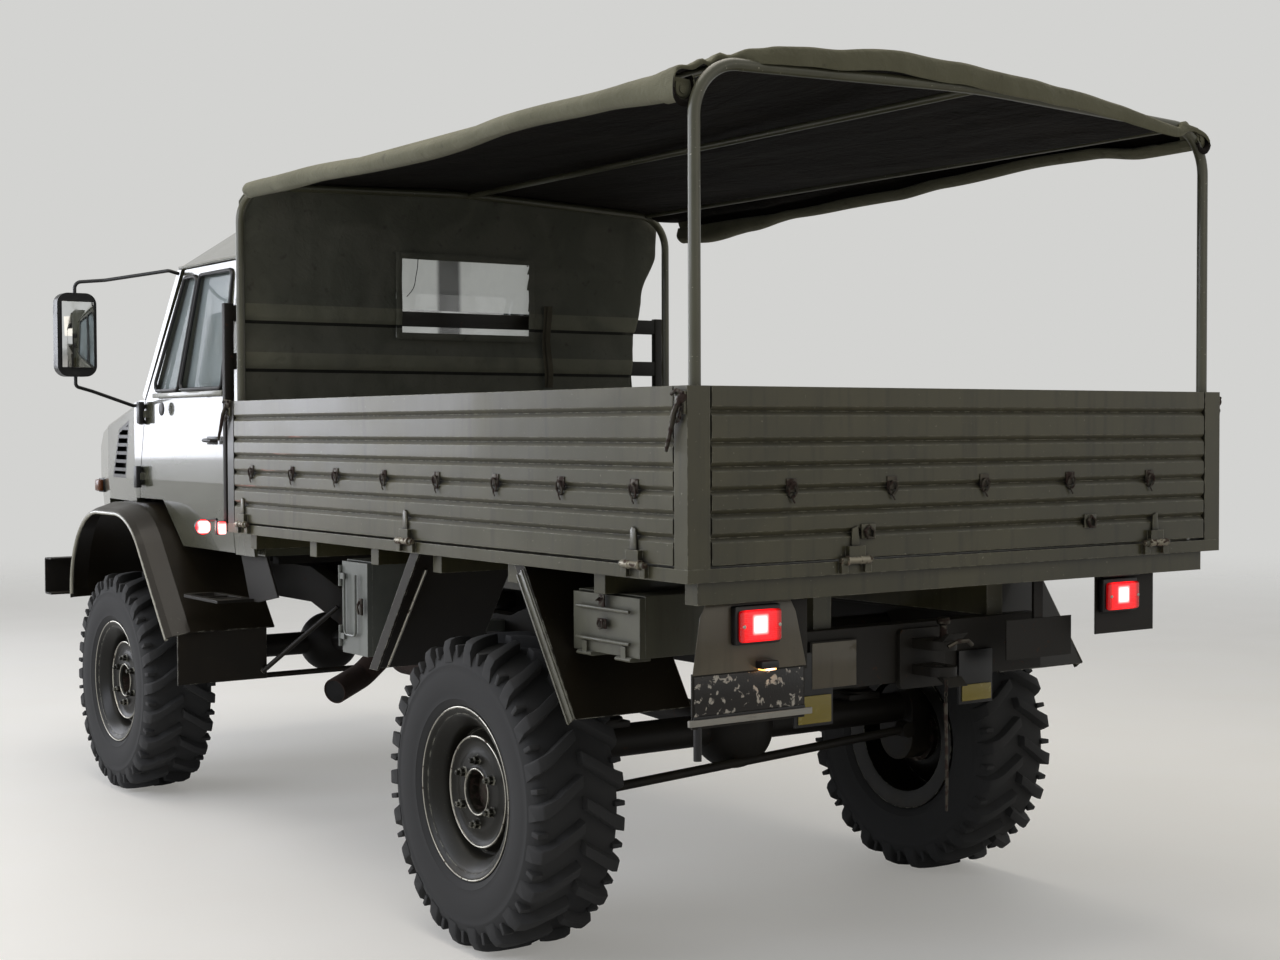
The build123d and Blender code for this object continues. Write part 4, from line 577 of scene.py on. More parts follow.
class Shape:
    """A mesh under construction, made of solids that share one object."""

    def __init__(self) -> None:
        """Start with an empty mesh."""
        self.bm = bmesh.new()
        self.slot = 0

    def _rounded(self, verts: Sequence[bmesh.types.BMVert], radius: float, segments: int) -> Shape:
        """Round all edges of a new solid and give it the current finish."""
        faces = {f for v in verts for f in v.link_faces}
        if radius > 0:
            # Each edge once, in the order of the corners.
            edges = list(dict.fromkeys(e for v in verts for e in v.link_edges))
            new = bmesh.ops.bevel(self.bm, geom=edges, offset=radius, segments=segments, profile=0.5, affect="EDGES",
                                  clamp_overlap=True)
            faces = {f for v in new["verts"] for f in v.link_faces}
        return self._worn_by(faces)

    def _worn_by(self, faces: Sequence[bmesh.types.BMFace] | set) -> Shape:
        """Give new faces the current finish."""
        for face in faces:
            face.material_index = self.slot
        return self

    def wears(self, slot: int) -> Shape:
        """Pick the finish that the next faces wear."""
        self.slot = slot
        return self

    def box(self, low: Point, high: Point, round_off: float = 0.0, segments: int = 2) -> Shape:
        """Add a cuboid, its edges rounded if asked.

        Args:
            low: lowest corner.
            high: highest corner.
            round_off: radius of the edges.
            segments: facets across a rounded edge.

        Returns:
            The shape itself.
        """
        size = [max(abs(b - a), 1e-5) for a, b in zip(low, high)]
        frame = Matrix.Translation((Vector(low) + Vector(high)) / 2) @ Matrix.Diagonal((*size, 1))
        made = bmesh.ops.create_cube(self.bm, size=1, matrix=frame)
        return self._rounded(made["verts"], min(round_off, min(size) * 0.49), segments)

    def prism(self, outline: Sequence[Point], depth: Point, round_off: float = 0.0) -> Shape:
        """Add a flat outline pulled along a direction.

        Args:
            outline: corners of the outline, in order.
            depth: how far and which way the outline is pulled.
            round_off: radius of the edges.

        Returns:
            The shape itself.
        """
        near = [self.bm.verts.new(p) for p in outline]
        far = [self.bm.verts.new(Vector(p) + Vector(depth)) for p in outline]
        faces = [self.bm.faces.new(near[::-1]), self.bm.faces.new(far)]
        for i, start in enumerate(near):
            j = (i + 1) % len(near)
            faces.append(self.bm.faces.new((start, near[j], far[j], far[i])))
        bmesh.ops.recalc_face_normals(self.bm, faces=faces)
        return self._rounded(near + far, round_off, 2)

    def lathe(self, profile: Sequence[Pair], centre: Point, axis: str = "X", turns: int = 64, side: int = 1,
              closed: bool = False) -> Shape:
        """Add a turned solid or shell.

        Args:
            profile: pairs of distance along the axis and radius.
            centre: where the profile's nought lies.
            axis: the axis of turning, X, Y or Z.
            turns: facets round the axis.
            side: minus one faces the profile the other way.
            closed: whether the profile's last point joins its first.

        Returns:
            The shape itself.
        """
        along, first, second = (Vector(v) for v in {
            "X": ((1, 0, 0), (0, 1, 0), (0, 0, 1)), "Y": ((0, 1, 0), (0, 0, 1), (1, 0, 0)),
            "Z": ((0, 0, 1), (1, 0, 0), (0, 1, 0))}[axis])
        rings = []
        for reach, radius in profile:
            base = Vector(centre) + along * reach * side
            # A point on the axis is one corner, not a ring of them.
            spokes = [math.cos(a) * first + math.sin(a) * second for a in around(turns)]
            rings.append([self.bm.verts.new(base + radius * spoke) for spoke in (
                spokes if radius >= 1e-6 else [Vector()])])
        faces = []
        for near, far in zip(rings, rings[1:] + (rings[:1] if closed else [])):
            for k in range(turns):
                j = (k + 1) % turns
                corners = [near[k % len(near)], near[j % len(near)], far[j % len(far)], far[k % len(far)]]
                corners = list(dict.fromkeys(corners))
                if len(corners) > 2:
                    faces.append(self.bm.faces.new(corners))
        bmesh.ops.recalc_face_normals(self.bm, faces=faces)
        return self._worn_by(faces)

    def tube(self, path: Sequence[Point], radius: float | Sequence[float], sides: int = 12, flat: float = 1.0,
             closed: bool = False, across: Point | None = None) -> Shape:
        """Add a bar or strap along a path.

        Args:
            path: points of the path.
            radius: one radius, or one for each point.
            sides: facets round the bar.
            flat: thickness as a share of the width, for a strap.
            closed: whether the path's end joins its start.
            across: the width's direction at the start, for a strap.

        Returns:
            The shape itself.
        """
        points = [Vector(p) for p in path]
        count = len(points)
        radii = [radius] * count if isinstance(radius, float) else list(radius)
        width = Vector(across) if across else None
        rings = []
        for i, point in enumerate(points):
            before, after = (points[i - 1], points[(i + 1) % count]) if closed else (
                points[max(i - 1, 0)], points[min(i + 1, count - 1)])
            ahead = (after - before).normalized()
            if width is None:
                width = ahead.cross(Vector((0, 0, 1)))
                width = width if width.length > 0.1 else ahead.cross(Vector((0, 1, 0)))
            width = (width - ahead * width.dot(ahead)).normalized()
            other = ahead.cross(width)
            rings.append([self.bm.verts.new(point + radii[i] * (math.cos(a) * width + flat * math.sin(a) * other))
                          for a in around(sides)])
        faces = [self.bm.faces.new((near[k], near[(k + 1) % sides], far[(k + 1) % sides], far[k]))
                 for near, far in zip(rings, rings[1:] + (rings[:1] if closed else [])) for k in range(sides)]
        if not closed:
            faces += [self.bm.faces.new(rings[0]), self.bm.faces.new(rings[-1][::-1])]
        bmesh.ops.recalc_face_normals(self.bm, faces=faces)
        return self._worn_by(faces)

    def chain(self, start: Point, end: Point, sag: float, links: int) -> None:
        """Add a short keeper chain between two points.

        Args:
            start: its upper end.
            end: its other end.
            sag: how far its middle hangs down.
            links: how many links.
        """
        run = Vector(end) - Vector(start)
        for k in range(links):
            t = (k + 0.5) / links
            middle = Vector(start).lerp(Vector(end), t) - Vector((0, 0, sag * 4 * t * (1 - t)))
            ahead = (run - Vector((0, 0, sag * 4 * (1 - 2 * t)))).normalized()
            wide = ahead.cross(Vector((1, 0, 0) if k % 2 else (0.3, 1, 0))).normalized()
            ring = [middle + ahead * 0.009 * math.cos(a) + wide * 0.005 * math.sin(a) for a in around(8)]
            self.tube(ring, 0.0016, 5, closed=True)

    def mirrored(self) -> Shape:
        """Add the same solids on the truck's other side."""
        made = bmesh.ops.duplicate(self.bm, geom=self.bm.verts[:] + self.bm.edges[:] + self.bm.faces[:])["geom"]
        for vert in (g for g in made if isinstance(g, bmesh.types.BMVert)):
            vert.co.x = -vert.co.x
        bmesh.ops.reverse_faces(self.bm, faces=[g for g in made if isinstance(g, bmesh.types.BMFace)])
        return self

    def mesh(self, name: str, *finishes: Finish | Material, smooth: float = 35.0) -> Mesh:
        """Close the shape as a mesh.

        Args:
            name: the mesh's name.
            finishes: its finishes, in the order of the slots.
            smooth: edges sharper than this many degrees stay crisp.

        Returns:
            The finished mesh.
        """
        mesh = bpy.data.meshes.new(name)
        self.bm.to_mesh(mesh)
        self.bm.free()
        for finish in finishes:
            mesh.materials.append(material_of(finish))
        mesh.shade_smooth()
        mesh.set_sharp_from_angle(angle=math.radians(smooth))
        return mesh

    def piece(self, name: str, body: str, slot: str, *finishes: Finish | Material, smooth: float = 35.0,
              replaces: Sequence[str] = ()) -> Object:
        """Close the shape as a mesh, and settle it as a piece that rides on a body."""
        return settle(self.mesh(name, *finishes, smooth=smooth), body, replaces)


def settle(mesh: Mesh, body: str, replaces: Sequence[str] = ()) -> Object:
    """Make a mesh a piece that rides on a body.

    Args:
        mesh: the finished mesh, already in place.
        body: the body that it rides on.
        replaces: the nodes that it stands for.

    Returns:
        The new object.
    """
    piece = placed(mesh.name, mesh)
    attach(piece, body)
    if replaces:
        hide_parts(*replaces)
    log.info("%s: %d faces on %s", mesh.name, len(mesh.polygons), body)
    return piece


class Repeat:
    """Geometry Nodes that repeat one small solid in a row or round an axis."""

    def __init__(self) -> None:
        """Build the tree with its named inputs."""
        self.tree = bpy.data.node_groups.new("repeat_a_solid", "GeometryNodeTree")
        self.tree.interface.new_socket("Geometry", in_out="OUTPUT", socket_type="NodeSocketGeometry")
        kinds = {"Solid": "Object", "Finish": "Material", "Count": "Int", "Start": "Vector", "Step": "Vector",
                 "Turn start": "Vector", "Turn step": "Vector"}
        self.sockets = {label: self.tree.interface.new_socket(
            label, in_out="INPUT", socket_type="NodeSocket" + kind).identifier for label, kind in kinds.items()}
        inside = self.tree.nodes.new("NodeGroupInput").outputs
        index = add_node(self.tree, "GeometryNodeInputIndex")
        points = add_node(self.tree, "GeometryNodePoints", {
            "Count": inside["Count"], "Position": self._along(index, inside["Start"], inside["Step"])})
        solid = add_node(self.tree, "GeometryNodeObjectInfo", {"Object": inside["Solid"]}, "Geometry")
        copies = add_node(self.tree, "GeometryNodeInstanceOnPoints", {
            "Points": points, "Instance": solid,
            "Rotation": self._along(index, inside["Turn start"], inside["Turn step"])})
        real = add_node(self.tree, "GeometryNodeRealizeInstances", {0: copies})
        worn = add_node(self.tree, "GeometryNodeSetMaterial", {"Geometry": real, "Material": inside["Finish"]})
        add_node(self.tree, "NodeGroupOutput", {0: worn})

    def _along(self, index: NodeSocket, start: NodeSocket, step: NodeSocket) -> NodeSocket:
        """A start plus the index times a step."""
        scaled = add_node(self.tree, "ShaderNodeVectorMath", {0: step, "Scale": index}, operation="SCALE")
        return add_node(self.tree, "ShaderNodeVectorMath", {0: start, 1: scaled}, operation="ADD")

    def mesh(self, solid: Mesh, finish: Finish | Material, count: int, start: Point = (0, 0, 0),
             step: Point = (0, 0, 0), turn_start: Point = (0, 0, 0), turn_step: Point = (0, 0, 0)) -> Mesh:
        """Repeat a solid.

        Args:
            solid: the mesh that is repeated.
            finish: what all copies wear.
            count: how many copies.
            start: place of the first.
            step: from one copy to the next.
            turn_start: Euler angles of the first.
            turn_step: the turn from one copy to the next.

        Returns:
            A plain mesh of all copies.
        """
        solid.materials.clear()
        solid.materials.append(material_of(finish))
        master, holder = placed("master", solid), placed("holder", bpy.data.meshes.new("holder"))
        modifier = holder.modifiers.new("Repeat", "NODES")
        modifier.node_group = self.tree
        values = (master, material_of(finish), count, start, step, turn_start, turn_step)
        for label, value in zip(self.sockets, values):
            modifier[self.sockets[label]] = value
        graph = bpy.context.evaluated_depsgraph_get()
        mesh = bpy.data.meshes.new_from_object(holder.evaluated_get(graph), depsgraph=graph)
        holder.modifiers.clear()
        bpy.data.objects.remove(master)
        bpy.data.objects.remove(holder)
        return mesh


def joined(name: str, *meshes: Mesh) -> Mesh:
    """Join meshes into one; each keeps its finish and crisp edges.

    Args:
        name: the new mesh's name.
        meshes: the meshes, each with its own materials.

    Returns:
        The joined mesh.
    """
    bm = bmesh.new()
    result = bpy.data.meshes.new(name)
    for mesh in meshes:
        first = len(bm.faces)
        bm.from_mesh(mesh)
        bm.faces.ensure_lookup_table()
        for material in mesh.materials:
            if material.name not in result.materials:
                result.materials.append(material)
        order = [result.materials.find(m.name) for m in mesh.materials]
        for face in bm.faces[first:]:
            face.material_index = order[min(face.material_index, len(order) - 1)]
    bm.to_mesh(result)
    bm.free()
    return result


@dataclass(frozen=True)
class Wheel:
    """One wheel: a bar-lug tyre on a dished disc rim with six nuts."""

    corner: str
    centre: Point
    side: int
    repeat: Repeat
    lug_count: int = 22
    nut_count: int = 6
    nut_circle: float = 0.1025

    # Outer half of the casing, as pairs of distance from the middle and radius.
    CASING = ((0.13, 0.254), (0.13, 0.2745), (0.138, 0.281), (0.146, 0.291), (0.1505, 0.3), (0.153, 0.3025),
              (0.1525, 0.308), (0.1558, 0.322), (0.1588, 0.345), (0.16, 0.368), (0.1592, 0.388), (0.157, 0.405),
              (0.1585, 0.409), (0.1575, 0.414), (0.155, 0.421), (0.15, 0.436), (0.142, 0.45), (0.128, 0.46),
              (0.105, 0.465), (0.05, 0.468), (0.0, 0.4685))
    # Front of the rim from its lip to the hub, then its back, as pairs of distance and radius.
    FACE = ((0.1303, 0.2735), (0.134, 0.2752), (0.1385, 0.2748), (0.141, 0.2715), (0.1405, 0.267), (0.136, 0.2615),
            (0.1325, 0.257), (0.1305, 0.25), (0.126, 0.243), (0.112, 0.23), (0.099, 0.217), (0.09, 0.211),
            (0.07, 0.208), (0.054, 0.204), (0.05, 0.198), (0.053, 0.192), (0.07, 0.186), (0.086, 0.1815),
            (0.09, 0.178), (0.0905, 0.173), (0.087, 0.168), (0.081, 0.16), (0.079, 0.152), (0.08, 0.14),
            (0.085, 0.127), (0.087, 0.12), (0.087, 0.086), (0.089, 0.08), (0.093, 0.0765),
            (0.095, 0.0735), (0.0945, 0.069), (0.09, 0.0655), (0.082, 0.065))
    HUB = ((0.082, 0.065), (0.05, 0.063), (0.048, 0.042), (0.06, 0.04), (0.062, 0.033),
           (0.059, 0.0), (-0.063, 0.0), (-0.063, 0.1025), (-0.04, 0.1025))
    BACK = ((-0.04, 0.1245), (-0.014, 0.155), (0.04, 0.207), (-0.129, 0.21), (-0.14, 0.245),
            (-0.141, 0.273), (-0.1303, 0.2735), (-0.1303, 0.2537), (0.1303, 0.2537))
    # Rubbed bright rings on the rim, as distance, radius and thickness, and the nut on its stud.
    BEADS = ((0.1392, 0.275, 0.003), (0.0903, 0.1765, 0.0034), (0.0948, 0.0735, 0.0022))
    NUT = ((0.086, 0.0165), (0.09, 0.0165), (0.0905, 0.015), (0.106, 0.015), (0.108, 0.0125), (0.108, 0.009),
           (0.119, 0.009), (0.121, 0.007), (0.121, 0.0))

    def lug(self, row: int) -> Mesh:
        """One bar lug, bent back towards the shoulder and drawn in at its top.

        Args:
            row: plus or minus one, the half of the tread that it lies on.

        Returns:
            The lug round the wheel's middle, at the top of the wheel.
        """
        # Distance from the middle, lag behind the centre line, half width, radius of the top and of the foot.
        stations = ((0.003, -0.032, 0.019, 0.501, 0.458), (0.045, -0.006, 0.02, 0.5018, 0.458),
                    (0.092, 0.026, 0.021, 0.501, 0.456), (0.122, 0.042, 0.0225, 0.4985, 0.45),
                    (0.146, 0.05, 0.0235, 0.49, 0.434), (0.1575, 0.053, 0.0225, 0.466, 0.42))
        bm = bmesh.new()
        rings = []
        for x, lag, half, top, foot in stations:
            ring = [(lag - half - 0.003, foot), (lag + half + 0.003, foot), (lag + half - 0.002, top),
                    (lag - half + 0.002, top)]
            rings.append([bm.verts.new((row * x, r * math.sin(t / r), r * math.cos(t / r))) for t, r in ring])
        for near, far in zip(rings, rings[1:]):
            for k in range(4):
                bm.faces.new((near[k], near[(k + 1) % 4], far[(k + 1) % 4], far[k]))
        bm.faces.new(rings[0])
        bm.faces.new(rings[-1][::-1])
        bmesh.ops.recalc_face_normals(bm, faces=bm.faces)
        sharp = [e for e in bm.edges if e.calc_face_angle(0) > 0.6 and max(v.co.z for v in e.verts) > 0.462]
        bmesh.ops.bevel(bm, geom=sharp, offset=0.0045, segments=2, profile=0.6, affect="EDGES", clamp_overlap=True)
        tread = bm.faces.layers.float.new("tread")
        for face in bm.faces:
            middle = face.calc_center_median()
            radial = Vector((0, middle.y, middle.z)).normalized()
            face[tread] = 1.0 if face.normal.dot(radial) > 0.75 and middle.z > 0.47 else 0.15
        mesh = bpy.data.meshes.new("lug")
        bm.to_mesh(mesh)
        bm.free()
        mesh.shade_smooth()
        mesh.set_sharp_from_angle(angle=math.radians(40))
        return mesh

    def tyre(self) -> None:
        """Casing, lugs in two rows half a pitch apart, and short ribs on the shoulders between the lugs."""
        profile = list(self.CASING) + [(-x, r) for x, r in reversed(self.CASING[:-1])]
        shape = Shape().lathe(profile, self.centre, turns=96, closed=True)
        parts = [shape.mesh("casing", Finish.TYRE, smooth=40)]
        pitch = 2 * math.pi / self.lug_count
        for row in SIDES.values():
            start = 0.0 if row > 0 else pitch / 2
            rib = Shape().box((row * 0.12, -0.008, 0.436), (row * 0.157, 0.008, 0.4745), 0.003).mesh("rib")
            for solid, turned in ((self.lug(row), start), (rib, start + pitch * 0.5 - 0.115)):
                parts.append(self.repeat.mesh(solid, Finish.TYRE, self.lug_count, self.centre,
                                              turn_start=(turned, 0, 0), turn_step=(pitch, 0, 0)))
        node = "tyre_" + self.corner
        settle(joined(node + "_casing_and_lugs", *parts), "wheel_" + self.corner, [node])

    def rim(self) -> None:
        """Dished rim with a rolled lip and ring, dark hub and six nuts on their studs."""
        disc = Shape().lathe(self.FACE, self.centre, turns=96, side=self.side)
        disc.wears(1).lathe(self.HUB, self.centre, turns=96, side=self.side)
        back = (self.HUB[-1],) + self.BACK + (self.FACE[0],)
        disc.wears(0).lathe(back, self.centre, turns=96, side=self.side)
        bmesh.ops.remove_doubles(disc.bm, verts=disc.bm.verts, dist=1e-5)
        bmesh.ops.recalc_face_normals(disc.bm, faces=disc.bm.faces)
        for reach, radius, thick in self.BEADS:
            bead = [(reach + thick * math.cos(a), radius + thick * math.sin(a)) for a in around(8)]
            disc.wears(2).lathe(bead, self.centre, turns=96, side=self.side, closed=True)
        nut = Shape().lathe(self.NUT, (0, 0, self.nut_circle), turns=6, side=self.side)
        parts = [disc.mesh("disc", Finish.RIM, Finish.FORGED, Finish.BRIGHT, smooth=42),
                 self.repeat.mesh(nut.mesh("nut", smooth=25), Finish.RIM, self.nut_count, self.centre,
                                  turn_step=(2 * math.pi / self.nut_count, 0, 0))]
        node = "rim_" + self.corner
        settle(joined(node + "_disc", *parts), "wheel_" + self.corner, [node])


def along(table: Sequence[Pair], place: float) -> float:
    """Read a short table of measured pairs smoothly.

    Args:
        table: pairs of place and value, in rising order of place.
        place: where the value is wanted.

    Returns:
        The value there.
    """
    if place <= table[0][0]:
        return table[0][1]
    for (a, low), (b, high) in zip(table, table[1:]):
        if place <= b:
            t = (place - a) / (b - a)
            return low + (high - low) * t * t * (3 - 2 * t)
    return table[-1][1]


def curve_through(points: Sequence[Pair], count: int) -> list[Pair]:
    """Points at even steps along a smooth curve through given ones.

    Args:
        points: pairs that the curve goes through.
        count: how many points come back.

    Returns:
        The points.
    """
    dense = []
    for i in range(len(points) - 1):
        a, b, c, d = (Vector(points[min(max(k, 0), len(points) - 1)]) for k in (i - 1, i, i + 1, i + 2))
        for k in range(12):
            t = k / 12
            dense.append(0.5 * (2 * b + (c - a) * t + (2 * a - 5 * b + 4 * c - d) * t * t
                                + (3 * b - a - 3 * c + d) * t ** 3))
    dense.append(Vector(points[-1]))
    run = [0.0]
    for near, far in zip(dense, dense[1:]):
        run.append(run[-1] + (far - near).length)
    result, k = [], 0
    for i in range(count):
        want = run[-1] * i / (count - 1)
        while k < len(run) - 2 and run[k + 1] < want:
            k += 1
        share = (want - run[k]) / max(run[k + 1] - run[k], 1e-9)
        result.append(tuple(dense[k].lerp(dense[k + 1], min(share, 1.0))))
    return result


def cloth(name: str, place: Callable[[float, float], Vector], across: int, down: int, thickness: float, slot: str,
          outer: Finish, inner: Finish, hole: Callable[[Vector], bool] | None = None,
          replaces: Sequence[str] = ()) -> Object:
    """A sheet laid out as a grid, with an outer and an inner side.

    Args:
        name: the piece's name.
        place: gives a point of the outer side from two shares between nought and one.
        across: grid steps across.
        down: grid steps down.
        thickness: of the cloth.
        slot: the record's material slot; not used.
        outer: finish of the outer side.
        inner: finish of the inner side.
        hole: tells where the sheet is cut out.
        replaces: nodes that the sheet stands for.

    Returns:
        The sheet's piece.
    """
    shape = Shape()
    grid = [[shape.bm.verts.new(place(i / across, j / down)) for i in range(across + 1)] for j in range(down + 1)]
    for j in range(down):
        for i in range(across):
            corners = (grid[j][i], grid[j][i + 1], grid[j + 1][i + 1], grid[j + 1][i])
            if hole is None or not hole(sum((v.co for v in corners), Vector()) / 4):
                shape.bm.faces.new(corners[::-1])
    loose = [v for v in shape.bm.verts if not v.link_faces]
    bmesh.ops.delete(shape.bm, geom=loose, context="VERTS")
    piece = shape.piece(name, "chassis", slot, outer, inner, smooth=180, replaces=replaces)
    solid = piece.modifiers.new("Thickness", "SOLIDIFY")
    solid.thickness = thickness
    solid.offset = -1
    solid.material_offset = 1
    solid.use_quality_normals = True
    return piece


@dataclass(frozen=True)
class Canopy:
    """Canvas roof over two bows, its side curtains rolled up under the eaves, and its front wall."""

    front: float = -0.333
    rear: float = 2.757
    roll_x: float = 1.062
    thickness: float = 0.003
    columns: int = 220
    rows: int = 132
    hem_from: float = 0.955
    wall_left: float = 1.036
    wall_top: float = 2.684
    wall_height: float = 0.984
    wall_y: float = -0.3255
    window_y: float = -0.309

    # Lines of the roof and of its eaves, worked out once.
    lines = {}
    eaves = []
    # Height of the rack's slats that press the front wall, and how far right the wall reaches by height.
    SLATS = ((1.906, 1.972), (2.1, 2.165))
    WALL_RIGHT = ((1.7, -0.862), (1.885, -0.866), (2.069, -0.882), (2.255, -0.927), (2.51, -1.01), (2.684, -1.018))
    # Height of the rolled curtains' lower and upper lines by the place along the bed, left and right.
    LEFT_LOW = ((-0.333, 2.573), (0.36, 2.562), (1.145, 2.542), (1.8, 2.556), (2.34, 2.554), (2.63, 2.54),
                (2.76, 2.533))
    LEFT_TOP = ((-0.333, 2.634), (0.31, 2.625), (1.1, 2.6), (1.75, 2.616), (2.3, 2.612), (2.55, 2.621), (2.76, 2.634))
    RIGHT_LOW = ((-0.333, 2.505), (-0.06, 2.495), (0.31, 2.519), (0.65, 2.548), (1.26, 2.561), (1.53, 2.578),
                 (2.04, 2.596), (2.27, 2.594), (2.49, 2.57), (2.76, 2.572))
    # Height of the roof's ridge line from left to right, over the rear hem and over the front bow.
    REAR_TOP = ((-0.911, 2.63), (-0.763, 2.649), (-0.3, 2.702), (0.123, 2.731), (0.511, 2.722), (0.868, 2.684))
    FRONT_TOP = ((-0.911, 2.655), (-0.45, 2.68), (0.0, 2.691), (0.45, 2.68), (0.9, 2.656))

    def section(self, y: float) -> list[Pair]:
        """Control points of the roof's outer side across the truck.

        Args:
            y: place along the bed.

        Returns:
            Points from inside the left roll, round it, over the roof and round the right roll.
        """
        low, top = along(self.LEFT_LOW, y), along(self.LEFT_TOP, y)
        right = along(self.RIGHT_LOW, y)
        right_top = max(right + 0.058, 2.596)
        share = part_of(y, self.front, self.rear - self.front)
        sag = 0.014 * math.sin(math.pi * share)
        rear = share ** 2
        middle = [(x, rear * along(self.REAR_TOP, x) + (1 - rear) * along(self.FRONT_TOP, x) - sag)
                  for x in (0.87, 0.66, 0.4, 0.13, -0.15, -0.42, -0.68, -0.88)]
        x = self.roll_x
        left_roll = [(x - 0.03, top - 0.03), (x - 0.04, low + 0.036), (x - 0.03, low + 0.012), (x - 0.006, low),
                     (x + 0.018, low + 0.006), (x + 0.031, low + 0.026), (x + 0.03, top - 0.026),
                     (x + 0.016, top - 0.006), (x - 0.01, top + 0.003), (x - 0.08, top + 0.016)]
        x -= 0.036 * rear
        right_roll = [(-x + 0.08, right_top + 0.016), (-x + 0.01, right_top + 0.002), (-x - 0.016, right_top - 0.01),
                      (-x - 0.029, right + 0.03), (-x - 0.02, right + 0.008), (-x + 0.002, right),
                      (-x + 0.026, right + 0.012), (-x + 0.036, right + 0.034), (-x + 0.03, right_top - 0.022)]
        return left_roll + middle + right_roll

    def roof_point(self, u: float, v: float) -> Vector:
        """A point of the roof's outer side, with its folds.

        Args:
            u: share across, from the left roll to the right one.
            v: share from the front edge to the bottom of the rear hem.

        Returns:
            The point.
        """
        hem = max((v - self.hem_from) / (1 - self.hem_from), 0.0)
        y = self.front + (self.rear - self.front) * min(v / self.hem_from, 1.0)
        key = round(y, 4)
        if key not in self.lines:
            self.lines[key] = curve_through(self.section(y), self.columns + 1)
        x, z = self.lines[key][min(round(u * self.columns), self.columns)]
        height = part_of(z, 2.6, 0.05)
        left_corner = part_of(x, 0.8, 0.12) * part_of(y, 2.55, 0.2)
        right_corner = part_of(-x, 0.86, 0.12) * part_of(y, 2.55, 0.2)
        corner = max(left_corner, right_corner)
        drop = 0.036 + 0.028 * (1 - min(abs(x - 0.1) / 0.95, 1) ** 2)
        z -= hem * drop * (1 - 0.55 * corner)
        y -= 0.062 * left_corner + 0.012 * right_corner
        y += 0.004 * math.sin(hem * math.pi)
        rolled = 1.0 if abs(x) > 1.0 else 0.0
        eave = part_of(abs(x), 0.92, 0.12)
        y += 0.165 * eave * eave * (3 - 2 * eave) * (1 - part_of(y, self.front, 0.9)) ** 2
        fold = noise.noise(Vector((x * 4, y * 1.1, 3.1))) * 0.01 * (1 - rolled)
        crease = noise.noise(Vector((x * 9 + 5, y * 2.2, z * 5))) * (0.004 + 0.003 * rolled)
        gather = math.sin(math.atan2(z - 2.52, x - 0.93) * 13 + y * 5) * 0.007 * left_corner * height
        sway = 0.004 * math.sin(y * 3.4 + 0.6) * rolled + 0.003 * math.sin(y * 11) * rolled
        ripple = 0.0035 * math.sin(x * 17 + 2 * math.sin(x * 5)) * (1 if hem > 0 else max(0, (v - 0.9) / 0.055))
        z += fold + crease + gather + ripple * 0.5
        if hem == 0 and z > 2.6:
            # The battens under the cloth hold it up.
            z = max(z, 2.6535 - ((abs(x) - 0.93) / 0.03) ** 2 * 0.02, 2.68 - (x / 0.03) ** 2 * 0.02)
        return Vector((x + sway * (1 if x > 0 else -1) + crease * rolled, y + ripple * 0.6, z))

    def roof(self) -> None:
        """The roof with its rolls and rear hem, one sheet."""
        piece = cloth("canopy_canvas", self.roof_point, self.columns, self.rows, self.thickness, "tarpaulin",
                      Finish.CANVAS, Finish.LINING, replaces=["canopy_roof"])

    def roll_ends(self) -> None:
        """Close the rolled curtains at both ends with the wound layers that show there."""
        shape = Shape()
        for v, way in ((0.0, 1), (0.9545, -1)):
            outline = [self.roof_point(i / self.columns, v) for i in range(self.columns + 1)]
            for side in SIDES.values():
                inner = self.roll_x - (0.08 if side < 0 and way < 0 else 0.046)
                inside = [p for p in outline if side * p.x > inner and p.z < (2.6 if side > 0 else 2.655)]
                middle = sum(inside, Vector()) / len(inside)
                for share, deep in ((0.97, 0.012), (0.62, 0.006), (0.3, 0.001)):
                    ring = [(middle.x + (p.x - middle.x) * share, middle.y + way * deep,
                             middle.z + (p.z - middle.z) * share) for p in inside]
                    shape.prism(ring, (0, way * 0.06, 0))
        shape.piece("curtain_roll_ends", "chassis", "tarpaulin", Finish.CANVAS)

    def wall_point(self, u: float, v: float) -> Vector:
        """A point of the front wall's rear side, pressed by the rack's slats behind it.

        Args:
            u: share across, from the left to the right.
            v: share from the top to the bottom.

        Returns:
            The point.
        """
        z = self.wall_top - self.wall_height * v
        x = self.wall_left + (along(self.WALL_RIGHT, z) - self.wall_left) * u
        if not self.eaves:
            edge = [self.roof_point(i / self.columns, 0.003) for i in range(20, self.columns - 20)]
            self.eaves.extend(sorted((p.x, p.z) for p in edge if p.z > 2.62 and abs(p.x) < 1.04))
        # The bow's bend, 150 mm round, rounds the wall's upper corners.
        bend = 2.504 + math.sqrt(max(0.0, 0.15 ** 2 - max(0.0, abs(x) - 0.905) ** 2))
        top = min(along(self.eaves, x) - 0.001, bend if abs(x) > 0.905 else 9.0)
        z += (top - self.wall_top) * max(0.0, (z - 2.3) / 0.384)
        pressed = sum(0.013 * part_of(z, low, 0.008) * part_of(high + 0.05, z, 0.06) for low, high in self.SLATS)
        waves = 0.005 * noise.noise(Vector((x * 5, 1.7, z * 2.4))) + 0.003 * noise.noise(Vector((x * 16, 4.2, z * 5)))
        return Vector((x, self.wall_y + pressed + waves, z))

    def wall(self) -> None:
        """The front wall with its window cut out."""
        low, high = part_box("canopy_window")
        piece = cloth("canopy_wall", self.wall_point, 150, 84, 0.0025, "tarpaulin", Finish.WALL, Finish.WALL,
                      lambda p: low.x + 0.012 < p.x < high.x - 0.012 and low.z + 0.012 < p.z < high.z - 0.012,
                      replaces=["canopy_front"])

